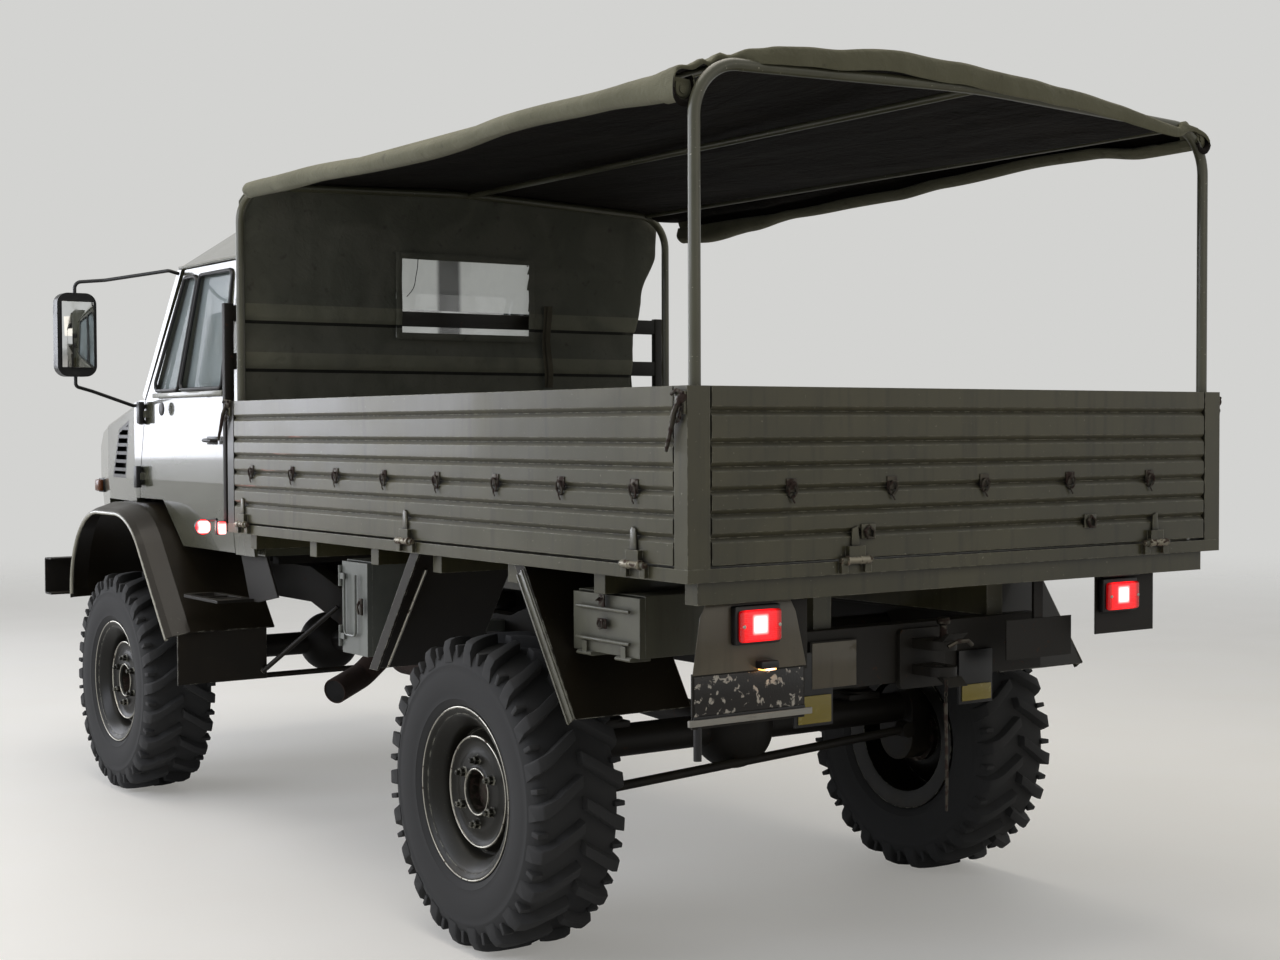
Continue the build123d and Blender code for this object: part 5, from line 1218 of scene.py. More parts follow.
    def window(self) -> None:
        """The clear film, a little wavy, sewn in behind a border."""
        low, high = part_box("canopy_window")

        def place(u: float, v: float) -> Vector:
            """A point of the film."""
            x, z = high.x + (low.x - high.x) * u, high.z + (low.z - high.z) * v
            wave = 0.003 * noise.noise(Vector((x * 7, 0.3, z * 6)))
            return Vector((x, (low.y + high.y) / 2 + wave, z))

        piece = cloth("canopy_film", place, 40, 24, 0.001, "tarp_window", Finish.FILM, Finish.FILM,
                      replaces=["canopy_window"])
        border = Shape()
        left, right, bottom, top = high.x - 0.006, low.x + 0.006, low.z + 0.006, high.z - 0.006
        for z in (top, bottom):
            border.tube([(left + (right - left) * k / 24, self.window_y - 0.0005 + 0.002 * math.sin(k * 0.9), z)
                         for k in range(25)], 0.0145, 8, 0.16, across=(0, 0, 1))
        for x in (left, right):
            border.tube([(x, self.window_y + 0.002 * math.sin(k * 1.1), top + 0.012 + (bottom - top - 0.024) * k / 12)
                         for k in range(13)], 0.0145, 8, 0.16, across=(1, 0, 0))
        border.piece("window_border", "chassis", "tarpaulin", Finish.WALL)


class Stage:
    """Pale floor, soft studio light and the camera at the photograph's angle."""

    def floor(self) -> None:
        """A pale floor that fades into the background, so that no horizon shows."""
        s = Surface("pale_studio_floor")
        away = add_node(s.tree, "ShaderNodeVectorMath", {0: s.place}, "Value", operation="LENGTH")
        specks = add_node(s.tree, "ShaderNodeTexNoise", {"Vector": s.place, "Scale": 1.4, "Detail": 6.0}, "Fac")
        tint = s.layered(linear("#dedcd6"), (specks, linear("#e6e4df")))
        lift = s.maths("MULTIPLY", add_node(s.tree, "ShaderNodeLightPath", out="Is Camera Ray"), 0.3)
        matt = add_node(s.tree, "ShaderNodeBsdfPrincipled", {
            "Base Color": tint, "Roughness": 0.6, "Emission Color": tint, "Emission Strength": lift})
        clear = add_node(s.tree, "ShaderNodeBsdfTransparent")
        shown = add_node(s.tree, "ShaderNodeMixShader", {0: s.ramp(away, 6.5, 19.0), 1: matt, 2: clear})
        add_node(s.tree, "ShaderNodeOutputMaterial", {"Surface": shown})
        shape = Shape()
        bmesh.ops.create_circle(shape.bm, cap_ends=True, segments=96, radius=26,
                                matrix=Matrix.Translation((0, 0, -0.002)))
        placed("studio_floor", shape.mesh("studio_floor", s.material))

    def sky(self) -> None:
        """A soft even world, with a pale background for what looks straight, by mirror or through glass."""
        world = bpy.data.worlds.new("studio")
        world.use_nodes = True
        tree = world.node_tree
        tree.nodes.clear()
        paths = tree.nodes.new("ShaderNodeLightPath").outputs
        seen = add_node(tree, "ShaderNodeMath", {0: paths["Is Camera Ray"], 1: paths["Is Transmission Ray"]},
                        operation="ADD", use_clamp=True)
        seen = add_node(tree, "ShaderNodeMath", {0: seen, 1: paths["Is Glossy Ray"]}, operation="ADD", use_clamp=True)
        soft = add_node(tree, "ShaderNodeBackground", {"Color": linear("#dfe3ea"), "Strength": 0.29})
        pale = add_node(tree, "ShaderNodeBackground", {"Color": linear("#d3d3d1"), "Strength": 1.0})
        both = add_node(tree, "ShaderNodeMixShader", {0: seen, 1: soft, 2: pale})
        add_node(tree, "ShaderNodeOutputWorld", {"Surface": both})
        bpy.context.scene.world = world

    def lamp(self, name: str, place: Point, aim: Point, size: Pair, watts: float, colour: str) -> None:
        """A large soft area lamp.

        Args:
            name: its name.
            place: where it hangs.
            aim: the point that it faces.
            size: its width and height.
            watts: its power.
            colour: its light's colour.
        """
        data = bpy.data.lights.new(name, "AREA")
        data.shape = "RECTANGLE"
        data.size, data.size_y = size
        data.energy = watts
        data.color = linear(colour)[:3]
        lamp = placed(name, data)
        lamp.location = place
        lamp.rotation_euler = (Vector(aim) - Vector(place)).to_track_quat("-Z", "Y").to_euler()

    def camera(self) -> None:
        """The camera where the photograph was taken from, 51.7 mm on a 36 mm sensor."""
        data = bpy.data.cameras.new("photo_camera")
        data.sensor_width = 36.0
        data.lens = 51.73
        data.clip_end = 200.0
        camera = placed("photo_camera", data)
        yaw, pitch, roll = (math.radians(a) for a in (-125.09, -1.63, -0.194))
        turn = Matrix.Rotation(yaw - math.pi / 2, 4, "Z") @ Matrix.Rotation(math.pi / 2 + pitch, 4, "X")
        camera.matrix_world = Matrix.Translation((3.97029, 6.63454, 1.6652)) @ turn @ Matrix.Rotation(roll, 4, "Z")
        bpy.context.scene.camera = camera

    def build(self) -> None:
        """Set the whole stage."""
        self.camera()
        self.floor()
        self.sky()
        self.lamp("left_softbox", (7.5, -1.0, 4.2), (0.8, 0.4, 1.2), (7.0, 3.2), 240, "#eef2ff")
        self.lamp("top_softbox", (0.5, 0.5, 7.0), (0.0, 0.4, 1.0), (6.0, 6.0), 260, "#fff8ee")
        self.lamp("front_left_softbox", (4.5, -8.8, 3.08), (1.0, -1.0, 1.6), (4.6, 3.4), 205, "#f2f5ff")
        self.lamp("rear_softbox", (-1.0, 8.5, 3.6), (0.0, 1.5, 1.2), (5.0, 2.5), 26, "#fff2dc")
        bpy.context.scene.view_settings.view_transform = "Standard"


def loop(outline: Sequence[Point], radius: float, steps: int) -> list[Vector]:
    """A closed outline with all its corners rounded, as points along it."""
    return filleted((*outline, *outline[:2]), (radius,) * len(outline), steps)[1:-1]


def filleted(points: Sequence[Pair], radii: Sequence[float], steps: int = 10) -> list[Vector]:
    """Round the inner corners of a path.

    Args:
        points: the path's corners.
        radii: one radius for each inner corner.
        steps: points along each arc.

    Returns:
        The rounded path.
    """
    path = [Vector(points[0])]
    for before, corner, after, radius in zip(points, points[1:], points[2:], radii):
        a, b, c = Vector(before), Vector(corner), Vector(after)
        back, ahead = (a - b).normalized(), (c - b).normalized()
        half = back.angle(ahead) / 2
        start, end = b + back * radius / math.tan(half), b + ahead * radius / math.tan(half)
        middle = b + (back + ahead).normalized() * radius / math.sin(half)
        for k in range(steps + 1):
            spoke = (start - middle).lerp(end - middle, k / steps).normalized()
            path.append(middle + spoke * radius)
    path.append(Vector(points[-1]))
    return path


@dataclass(frozen=True)
class GateFittings:
    """Rope hooks, hinge barrels, latch levers and chains on the three drop gates."""

    repeat: Repeat
    hook_z: float = 1.504
    hook_pitch: float = 0.371
    side_face: float = 1.095
    tail_face: float = 2.759
    hinge_z: float = 1.292
    side_pin: float = 1.109
    tail_pin: float = 2.773

    # A hinge pin with its rubbed barrel, washer and clip, as pairs of place along it and radius.
    PIN = ((-0.052, 0.0), (-0.052, 0.009), (-0.046, 0.0125), (-0.012, 0.0125), (-0.01, 0.0105), (0.03, 0.0105),
           (0.032, 0.014), (0.038, 0.014), (0.04, 0.008), (0.06, 0.008), (0.062, 0.0))

    def hook(self, turn: float) -> Mesh:
        """One rope hook: a pressed plate, a ring and its staple, made for a face that looks along +X.

        Args:
            turn: the turn about Z that faces it another way.

        Returns:
            The hook round its own middle.
        """
        shape = Shape().box((0, -0.019, -0.017), (0.0035, 0.019, 0.021), 0.0015)
        ring = [(0.008 + 0.004 * math.sin(a), 0.015 * math.cos(a), -0.012 + 0.019 * math.sin(a)) for a in around(14)]
        shape.tube(ring, 0.0032, 6, closed=True)
        shape.tube(((0.002, -0.006, 0.006), (0.011, -0.006, 0.007), (0.011, 0.006, 0.007), (0.002, 0.006, 0.006)),
                   0.003, 6)
        shape.tube(((0.008, -0.004, -0.03), (0.009, 0.001, -0.04), (0.008, 0.006, -0.046)), 0.0025, 6)
        bmesh.ops.rotate(shape.bm, verts=shape.bm.verts, matrix=Matrix.Rotation(turn, 3, "Z"))
        return shape.mesh("hook")

    def hooks(self) -> None:
        """Eight hooks along each side gate and five along the tailgate."""
        for body, turn, count, start, step in (
                ("gate_left", 0.0, 8, (self.side_face, -0.081, self.hook_z), (0, self.hook_pitch, 0)),
                ("gate_right", math.pi, 8, (-self.side_face, -0.081, self.hook_z), (0, self.hook_pitch, 0)),
                ("tailgate", math.pi / 2, 5, (0.742, self.tail_face, self.hook_z), (-self.hook_pitch, 0, 0))):
            row = self.repeat.mesh(self.hook(turn), Finish.FORGED, count, start, step)
            row.name = body + "_hooks"
            settle(row, body)

    def hinges(self) -> None:
        """Dull pins in the hinges, the strap of each hinge up the gate, and two rings on the tailgate."""
        for name, side in SIDES.items():
            shape = Shape()
            x = side * self.side_face
            for y in (-0.159, 1.198, 2.524):
                shape.wears(0).lathe(self.PIN, (side * self.side_pin, y, self.hinge_z), "Y", 20)
                shape.wears(1).prism(((x, y - 0.024, 1.3), (x, y + 0.01, 1.3), (x, y + 0.004, 1.388),
                                      (x, y - 0.012, 1.396), (x, y - 0.022, 1.384)), (side * 0.007, 0, 0), 0.002)
            shape.piece("gate_" + name + "_hinge_pins", "gate_" + name, "rusty_steel", Finish.DULL, Finish.BED)
        shape, y = Shape(), self.tail_face
        for x in (0.515, -0.765):
            shape.wears(0).lathe(self.PIN, (x, self.tail_pin, self.hinge_z), "X", 20)
            shape.wears(1).prism(((x - 0.02, y, 1.3), (x + 0.014, y, 1.3), (x + 0.01, y, 1.38), (x - 0.012, y, 1.388)),
                                 (0, 0.007, 0), 0.002)
        for x in (0.466, -0.458):
            shape.wears(1).box((x - 0.03, y, 1.35), (x + 0.024, y + 0.006, 1.392), 0.003)
            shape.wears(2).tube(((x, y + 0.01, 1.386), (x + 0.016, y + 0.013, 1.372), (x + 0.006, y + 0.012, 1.354),
                                 (x - 0.014, y + 0.012, 1.352), (x - 0.018, y + 0.012, 1.372)), 0.005, 8, closed=True)
        shape.piece("tailgate_hinge_pins", "tailgate", "rusty_steel", Finish.DULL, Finish.BED, Finish.FORGED)

    def latches(self) -> None:
        """Over-centre levers at the corners, with their hooks, pins and keeper chains."""
        for name, side in SIDES.items():
            shape = Shape()
            x = side * self.side_face
            for y, lean, z in ((2.742, -0.055, 1.75), (-0.3, -0.075, 1.768)):
                near, mid, far = x + side * 0.01, x + side * 0.012, x + side * 0.016
                shape.wears(0).box((x - side * 0.004, y - 0.03, z - 0.05), (x + side * 0.006, y + 0.014, z + 0.012),
                                   0.002)
                shape.wears(1).tube(((mid, y + 0.004, z - 0.004), (x + side * 0.017, y + lean * 0.35, z - 0.045),
                                     (x + side * 0.015, y + lean * 0.8, z - 0.11),
                                     (x + side * 0.018, y + lean, z - 0.148)), (0.009, 0.008, 0.0065, 0.005), 8)
                shape.lathe(((0.0, 0.015), (0.01, 0.015), (0.016, 0.01), (0.02, 0.0)), (x, y + 0.002, z - 0.006),
                            "X", 16, side)
                shape.tube(((near, y - 0.04, z + 0.004), (far, y - 0.01, z + 0.014), (near, y + 0.012, z + 0.006)),
                           0.005, 8)
                shape.chain((mid, y + 0.006, z - 0.03), (near, y - 0.026, z - 0.06), 0.02, 7)
            shape.piece(name + "_gate_latches", "chassis", "rusty_steel", Finish.BED, Finish.FORGED)

    def build(self) -> None:
        """Fit all gates."""
        self.hooks()
        self.hinges()
        self.latches()


@dataclass(frozen=True)
class RearLights:
    """Rear lamps, blank plate with its lamp, reflectors and side marker lamps."""

    plate_y: float = 2.6777
    lens_front: float = 2.7177
    marker_z: float = 1.268

    def tail_lamp(self, name: str, x: Pair, z: Pair) -> Mesh:
        """One rear lamp: a black housing, and a red lens with a hot bulb and two screws.

        Args:
            name: its name.
            x: its lower and upper side.
            z: its bottom and top.

        Returns:
            The lamp's mesh.
        """
        middle = (x[0] + x[1]) / 2
        lens = Lens(name + "_acrylic", "#e00b12", (middle + 0.006, self.lens_front, sum(z) / 2 + 0.004), 0.078, 5.5)
        shape = Shape().box((x[0] - 0.008, self.plate_y - 0.002, z[0] - 0.008), (x[1] + 0.008, 2.7, z[1] + 0.012),
                            0.006)
        shape.wears(1).box((x[0], 2.698, z[0]), (x[1], self.lens_front, z[1]), 0.009, 3)
        for px in (x[0] + 0.01, x[1] - 0.01):
            shape.wears(2).lathe(((0.0, 0.006), (0.003, 0.005), (0.004, 0.0)),
                                 (px, self.lens_front - 0.002, sum(z) / 2), "Y", 12)
        return shape.mesh(name, Finish.BLACK, lens.build(), Finish.BRIGHT)

    def marker(self, name: str, side: int) -> Mesh:
        """The round side lamp at the cab and the square one at the rack.

        Args:
            name: the pair's name.
            side: plus one left, minus one right.

        Returns:
            Both lamps' mesh.
        """
        x, z = side * 1.13, self.marker_z
        glow = Lens(name + "_round_acrylic", "#e8141c", (x, -0.478, z), 0.075, 8.0)
        dim = Lens(name + "_square_acrylic", "#d81018", (side * 1.1, -0.35, z - 0.006), 0.085, 3.0)
        shape = Shape().lathe(((-0.012, 0.0), (-0.012, 0.03), (0.0, 0.033), (0.006, 0.033), (0.006, 0.0)),
                              (x, -0.508, z), "Y", 32)
        shape.wears(1).lathe(((0.006, 0.03), (0.018, 0.029), (0.027, 0.022), (0.03, 0.01), (0.03, 0.0)), (x, -0.508, z),
                             "Y", 32)
        shape.wears(0).tube(((x, -0.512, z), (side * 1.108, -0.52, 1.292), (side * 1.086, -0.462, 1.298)), 0.006, 8)
        shape.box((side * 1.082, -0.413, 1.24), (side * 1.116, -0.388, 1.296), 0.003)
        shape.wears(2).box((side * 1.084, -0.39, 1.242), (side * 1.115, -0.365, 1.294), 0.006)
        return shape.mesh(name, Finish.BLACK, glow.build(), dim.build())

    def lamps(self) -> None:
        """All rear lamps, as one piece."""
        parts = [self.tail_lamp("left_tail_lamp", (0.738, 0.882), (1.078, 1.166)),
                 self.tail_lamp("right_tail_lamp", (-0.752, -0.606), (1.078, 1.166)),
                 self.marker("left_marker", 1), self.marker("right_marker", -1)]
        settle(joined("rear_lamps", *parts), "chassis", ["tail_lamps"])

    def plates(self) -> None:
        """The blank plate on its bright-edged carrier, its lamp, the lamp hoods and the reflectors."""
        y = self.plate_y
        shape = Shape()
        shape.box((0.632, y, 0.882), (1.015, y + 0.002, 0.992), 0.0008)
        shape.wears(1).box((0.604, y - 0.002, 0.858), (1.036, y + 0.008, 0.876), 0.002)
        shape.wears(2).box((0.628, y - 0.001, 0.876), (1.019, y + 0.005, 0.884), 0.001)
        shape.prism(((0.7, y - 0.004, 1.212), (0.905, y - 0.004, 1.212), (0.888, y - 0.004, 1.186),
                     (0.716, y - 0.004, 1.186)), (0, 0.03, 0), 0.003)
        shape.prism(((-0.77, y - 0.004, 1.238), (-0.585, y - 0.004, 1.238), (-0.59, y - 0.004, 1.184),
                     (-0.766, y - 0.004, 1.184)), (0, 0.034, 0), 0.004)
        shape.box((0.744, y, 1.0), (0.806, y + 0.034, 1.022), 0.005)
        shape.tube(((0.996, y - 0.01, 0.862), (0.996, y - 0.01, 0.8), (0.996, y - 0.01, 0.762)), 0.0115, 12)
        shape.wears(3).box((0.752, y + 0.004, 0.9955), (0.798, y + 0.03, 1.003), 0.002)
        shape.wears(4).box((0.371, 2.4945, 0.789), (0.498, 2.5, 0.872), 0.003)
        shape.box((-0.3, 2.4945, 0.8), (-0.172, 2.5, 0.852), 0.003)
        shape.wears(2).box((0.361, 2.484, 0.78), (0.508, 2.4945, 1.0), 0.002)
        shape.box((-0.31, 2.484, 0.79), (-0.162, 2.4945, 0.96), 0.002)
        shape.wears(5).prism(((0.622, y, 0.996), (1.021, y, 0.996), (0.996, y, 1.15), (0.968, y, 1.204),
                              (0.69, y, 1.204), (0.66, y, 1.15)), (0, 0.0022, 0), 0.0008)
        shape.box((0.27, 2.4935, 0.89), (0.443, 2.4965, 1.026), 0.001)
        bulb = Lens("plate_lamp_glass", "#ffb25a", (0.775, y + 0.018, 0.998), 0.05, 6.0)
        shape.piece("plate_and_reflectors", "chassis", "black_plastic", Finish.PLATE, Finish.WHITE, Finish.BLACK,
                    bulb.build(), Finish.YELLOW, Finish.PANEL)

    def build(self) -> None:
        """Fit lamps and plates."""
        self.lamps()
        self.plates()


@dataclass(frozen=True)
class Undercarriage:
    """Coil springs, wing lips, mudguard strips and stays, hitch pin, control rod and the exhaust's open end."""

    coil_x: float = 0.56
    coil_radius: float = 0.059
    wire: float = 0.009
    turns: float = 6.5

    def springs(self) -> None:
        """Four coil springs between their seats, on the brackets of the frame."""
        shape = Shape()
        x, steps = self.coil_x, int(self.turns * 20)
        for y, low, high in ((REAR_AXLE, 0.7, 1.0), (FRONT_AXLE, 0.7, 0.98)):
            coil = []
            for k in range(steps + 1):
                angle, t = 2 * math.pi * self.turns * k / steps, k / steps
                coil.append((x + self.coil_radius * math.cos(angle), y + self.coil_radius * math.sin(angle),
                             low + 0.012 + (high - low - 0.024) * part_of(t, 0.06, 0.88)))
            shape.tube(coil, self.wire, 8)
            shape.lathe(((0.0, 0.0), (0.0, 0.075), (0.006, 0.078), (0.01, 0.075), (0.012, 0.04), (0.03, 0.036),
                         (0.03, 0.0)), (x, y, low - 0.012), "Z", 32)
            shape.lathe(((0.0, 0.0), (0.0, 0.075), (-0.008, 0.075), (-0.012, 0.04), (-0.03, 0.036), (-0.03, 0.0)),
                        (x, y, high + 0.01), "Z", 32)
            shape.box((0.4, y - 0.085, high + 0.006), (0.645, y + 0.085, high + 0.04), 0.006)
            shape.box((0.485, y - 0.075, low - 0.033), (0.635, y + 0.075, low - 0.01), 0.005)
        shape.mirrored().piece("coil_springs", "chassis", "chassis_black", Finish.CHASSIS, replaces=["springs"])

    def wing_lips(self) -> None:
        """The rolled lip round each front wing, rubbed bright."""
        path = filleted(((-2.25, 0.87), (-2.25, 1.28), (-1.44, 1.28), (-0.992, 0.76)), (0.39, 0.4), 16)
        shape = Shape().tube([(1.1055, p.x, p.y - 0.001) for p in path], 0.0085, 10)
        shape.mirrored().piece("wing_lips", "chassis", "cab_olive", Finish.LIP)

    def strips(self) -> None:
        """Ribbed edge strips of the rear mudguards and bright stays of all flaps."""
        top = Vector((1.0785, 1.901, 1.237))
        ahead = Vector((top.x, 2.181, 0.82)) - top
        wide = Vector((0, -ahead.z, ahead.y)).normalized()
        shape = Shape()
        for offset, width, height in ((-0.013, 0.0225, 0.003), (-0.027, 0.0035, 0.008), (0.001, 0.0035, 0.008)):
            start, across = top + wide * (offset - width), wide * width * 2
            shape.prism((start, start + across, start + across + ahead, start + ahead), (height, 0, 0), 0.001)
        shape.wears(1).tube(((1.0, 1.149, 1.19), (1.01, 0.884, 0.836)), 0.007, 10)
        shape.mirrored().piece("mudguard_strips", "chassis", "grey_box", Finish.STRIP, Finish.BRIGHT)

    def hitch(self) -> None:
        """Pin, grip, hanging chain and safety rod of the tow hitch."""
        shape = Shape().lathe(((0.0, 0.0), (0.0, 0.02), (0.012, 0.024), (0.02, 0.02), (0.026, 0.012), (0.06, 0.011),
                               (0.066, 0.02), (0.075, 0.022), (0.084, 0.016), (0.086, 0.0)), (0, 2.59, 1.0), "Z", 24)
        shape.tube(((-0.05, 2.66, 1.004), (-0.02, 2.672, 1.02), (0.02, 2.672, 1.02), (0.05, 2.66, 1.004)), 0.007, 8)
        shape.tube(((0.064, 2.664, 0.838), (0.064, 2.668, 0.72), (0.062, 2.668, 0.6), (0.063, 2.668, 0.512)),
                   (0.006, 0.005, 0.005, 0.004), 8)
        shape.chain((0.06, 2.664, 0.905), (0.064, 2.664, 0.838), 0.0, 4)
        shape.piece("hitch_pin_and_chain", "chassis", "rusty_steel", Finish.FORGED)

    def exhaust_mouth(self) -> None:
        """The open end of the tail pipe: a black cap for its sooted bore, with the bore's shade painted in, inside a
        rolled rim.
        """
        end = Vector((0.86, 0.15, 0.65))
        out = Vector((0.16, 0.09, -0.04)).normalized()
        across = out.cross(Vector((0, 0, 1))).normalized()
        rise = out.cross(across)
        rim = [end + out * 0.001 + (across * math.cos(a) + rise * math.sin(a)) * 0.0465 for a in around(32)]
        shape = Shape().tube(rim, 0.0035, 8, closed=True)
        shape.wears(1).tube((end - out * 0.004, end + out * 0.0012), 0.045, 32)
        shape.piece("exhaust_mouth", "chassis", "rusty_steel", Finish.RUSTY, Finish.SOOT)

    def control_rod(self) -> None:
        """The sloping rod behind the rear axle, with an eye at each end."""
        ends = ((0.735, 1.64, 0.47), (-0.735, 1.64, 0.545))
        shape = Shape().tube((ends[0], (0.0, 1.64, 0.508), ends[1]), 0.0165, 12)
        for end in ends:
            shape.lathe(((-0.024, 0.0), (-0.024, 0.03), (0.024, 0.03), (0.024, 0.0)), end, "Y", 24)
        shape.piece("rear_control_rod", "chassis", "chassis_black", Finish.CHASSIS)

    def build(self) -> None:
        """Fit everything under the bed."""
        self.control_rod()
        self.exhaust_mouth()
        self.springs()
        self.wing_lips()
        self.strips()
        self.hitch()


@dataclass(frozen=True)
class Boxes:
    """Raised ribs, catches and hasps on the toolbox and the can locker."""

    def toolbox(self) -> None:
        """Two pressed ribs, the catch in the middle of the lid and the hasp on top."""
        shape = Shape()
        for z in (1.052, 1.144):
            shape.tube(((1.0165, 2.105, z), (1.0175, 2.112, z), (1.0175, 2.368, z), (1.0165, 2.375, z)), 0.0055, 8)
        shape.wears(1).box((1.016, 2.218, 1.086), (1.021, 2.262, 1.116), 0.002)
        ring = [(1.026, 2.24 + 0.014 * math.cos(a), 1.1 + 0.014 * math.sin(a)) for a in around(12)]
        shape.tube(ring, 0.003, 6, closed=True)
        shape.box((1.016, 2.226, 1.15), (1.022, 2.254, 1.184), 0.002)
        shape.tube(((1.02, 2.232, 1.176), (1.034, 2.234, 1.168), (1.034, 2.246, 1.168), (1.02, 2.248, 1.176)), 0.003, 6)
        shape.piece("toolbox_ribs_and_catch", "toolbox_door", "grey_box", Finish.BOX, Finish.FORGED)
        Shape().box((1.0, 2.222, 1.186), (1.024, 2.258, 1.2), 0.003).piece(
            "toolbox_hasp", "chassis", "grey_box", Finish.FORGED)

    def locker(self) -> None:
        """The pressed U of the locker's lid, its latch plate and its pull."""
        shape = Shape()
        groove = filleted(((0.66, 1.14), (0.66, 0.92), (0.57, 0.92), (0.57, 1.14)), (0.02, 0.02), 5)
        shape.tube([(1.0225, p.x, p.y) for p in groove], 0.0045, 8)
        shape.wears(1).box((1.022, 0.7, 1.0), (1.03, 0.722, 1.06), 0.002)
        shape.tube(((1.03, 0.706, 1.052), (1.04, 0.708, 1.03), (1.036, 0.712, 1.004)), 0.004, 8)
        shape.piece("locker_groove_and_latch", "locker_door", "grey_box", Finish.GREY, Finish.FORGED)

    def build(self) -> None:
        """Fit both boxes."""
        self.toolbox()
        self.locker()


@dataclass(frozen=True)
class CabDetails:
    """Door seals, hinge blocks, handles, sill strips, roof gutters and mirror glass."""

    mirror_x: float = 1.272

    def doors(self) -> None:
        """Hinge blocks, handle, sill strip and window seals of both doors."""
        panes = (((-1.484, 1.838), (-1.189, 1.838), (-1.081, 2.337), (-1.232, 2.337)),
                 ((-1.165, 1.838), (-0.69, 1.838), (-0.69, 2.337), (-1.057, 2.337)))
        for name, side in SIDES.items():
            shape, body = Shape(), "door_" + name
            for y, z in ((-1.606, 1.742), (-1.652, 1.446)):
                shape.box((side * 0.972, y - 0.022, z - 0.05), (side * 0.998, y + 0.018, z + 0.05), 0.005)
            for outline in panes:
                ring = [(side * (self.lean(z) + 0.001), y, z) for y, z in loop(outline, 0.03, 4)]
                shape.tube(ring, 0.0085, 8, closed=True)
            shape.wears(1).box((side * 0.968, -1.475, 1.806), (side * 0.978, -0.668, 1.828), 0.003)
            shape.wears(0).lathe(((0.0, 0.03), (0.004, 0.03), (0.006, 0.026), (0.006, 0.0)),
                                 (side * 0.981, -1.344, 1.756), "X", 24, side)
            shape.box((side * 0.984, -0.8, 1.6), (side * 0.99, -0.69, 1.634), 0.004)
            shape.tube(((side * 0.988, -0.79, 1.618), (side * 1.012, -0.782, 1.618), (side * 1.016, -0.74, 1.617),
                        (side * 1.01, -0.704, 1.616), (side * 0.99, -0.698, 1.616)), 0.008, 8)
            shape.piece(body + "_fittings", body, "black_plastic", Finish.BLACK, Finish.SILL)

    def lean(self, z: float) -> float:
        """Half width of the doors' outer face at a height."""
        return along(((1.45, 0.986), (1.8, 0.966), (2.38, 0.911)), z) if z > 1.8 else 0.988

    def roof_gutter(self) -> None:
        """The rain gutters along both eaves."""
        shape = Shape().tube(((0.912, -0.44, 2.384), (0.914, -0.9, 2.386), (0.912, -1.29, 2.384)), 0.008, 8)
        shape.mirrored().piece("roof_gutter", "chassis", "cab_olive", Finish.SILL)

    def mirrors(self) -> None:
        """Mirror glass in both housings."""
        for name, side in SIDES.items():
            x = side * self.mirror_x
            shape = Shape().box((x - 0.072, -1.6005, 1.945), (x + 0.072, -1.5975, 2.24), 0.0012)
            shape.piece(name + "_mirror_glass", "chassis", "clear_glass", Finish.SILVER)

    def build(self) -> None:
        """Fit the cab."""
        self.doors()
        self.roof_gutter()
        self.mirrors()


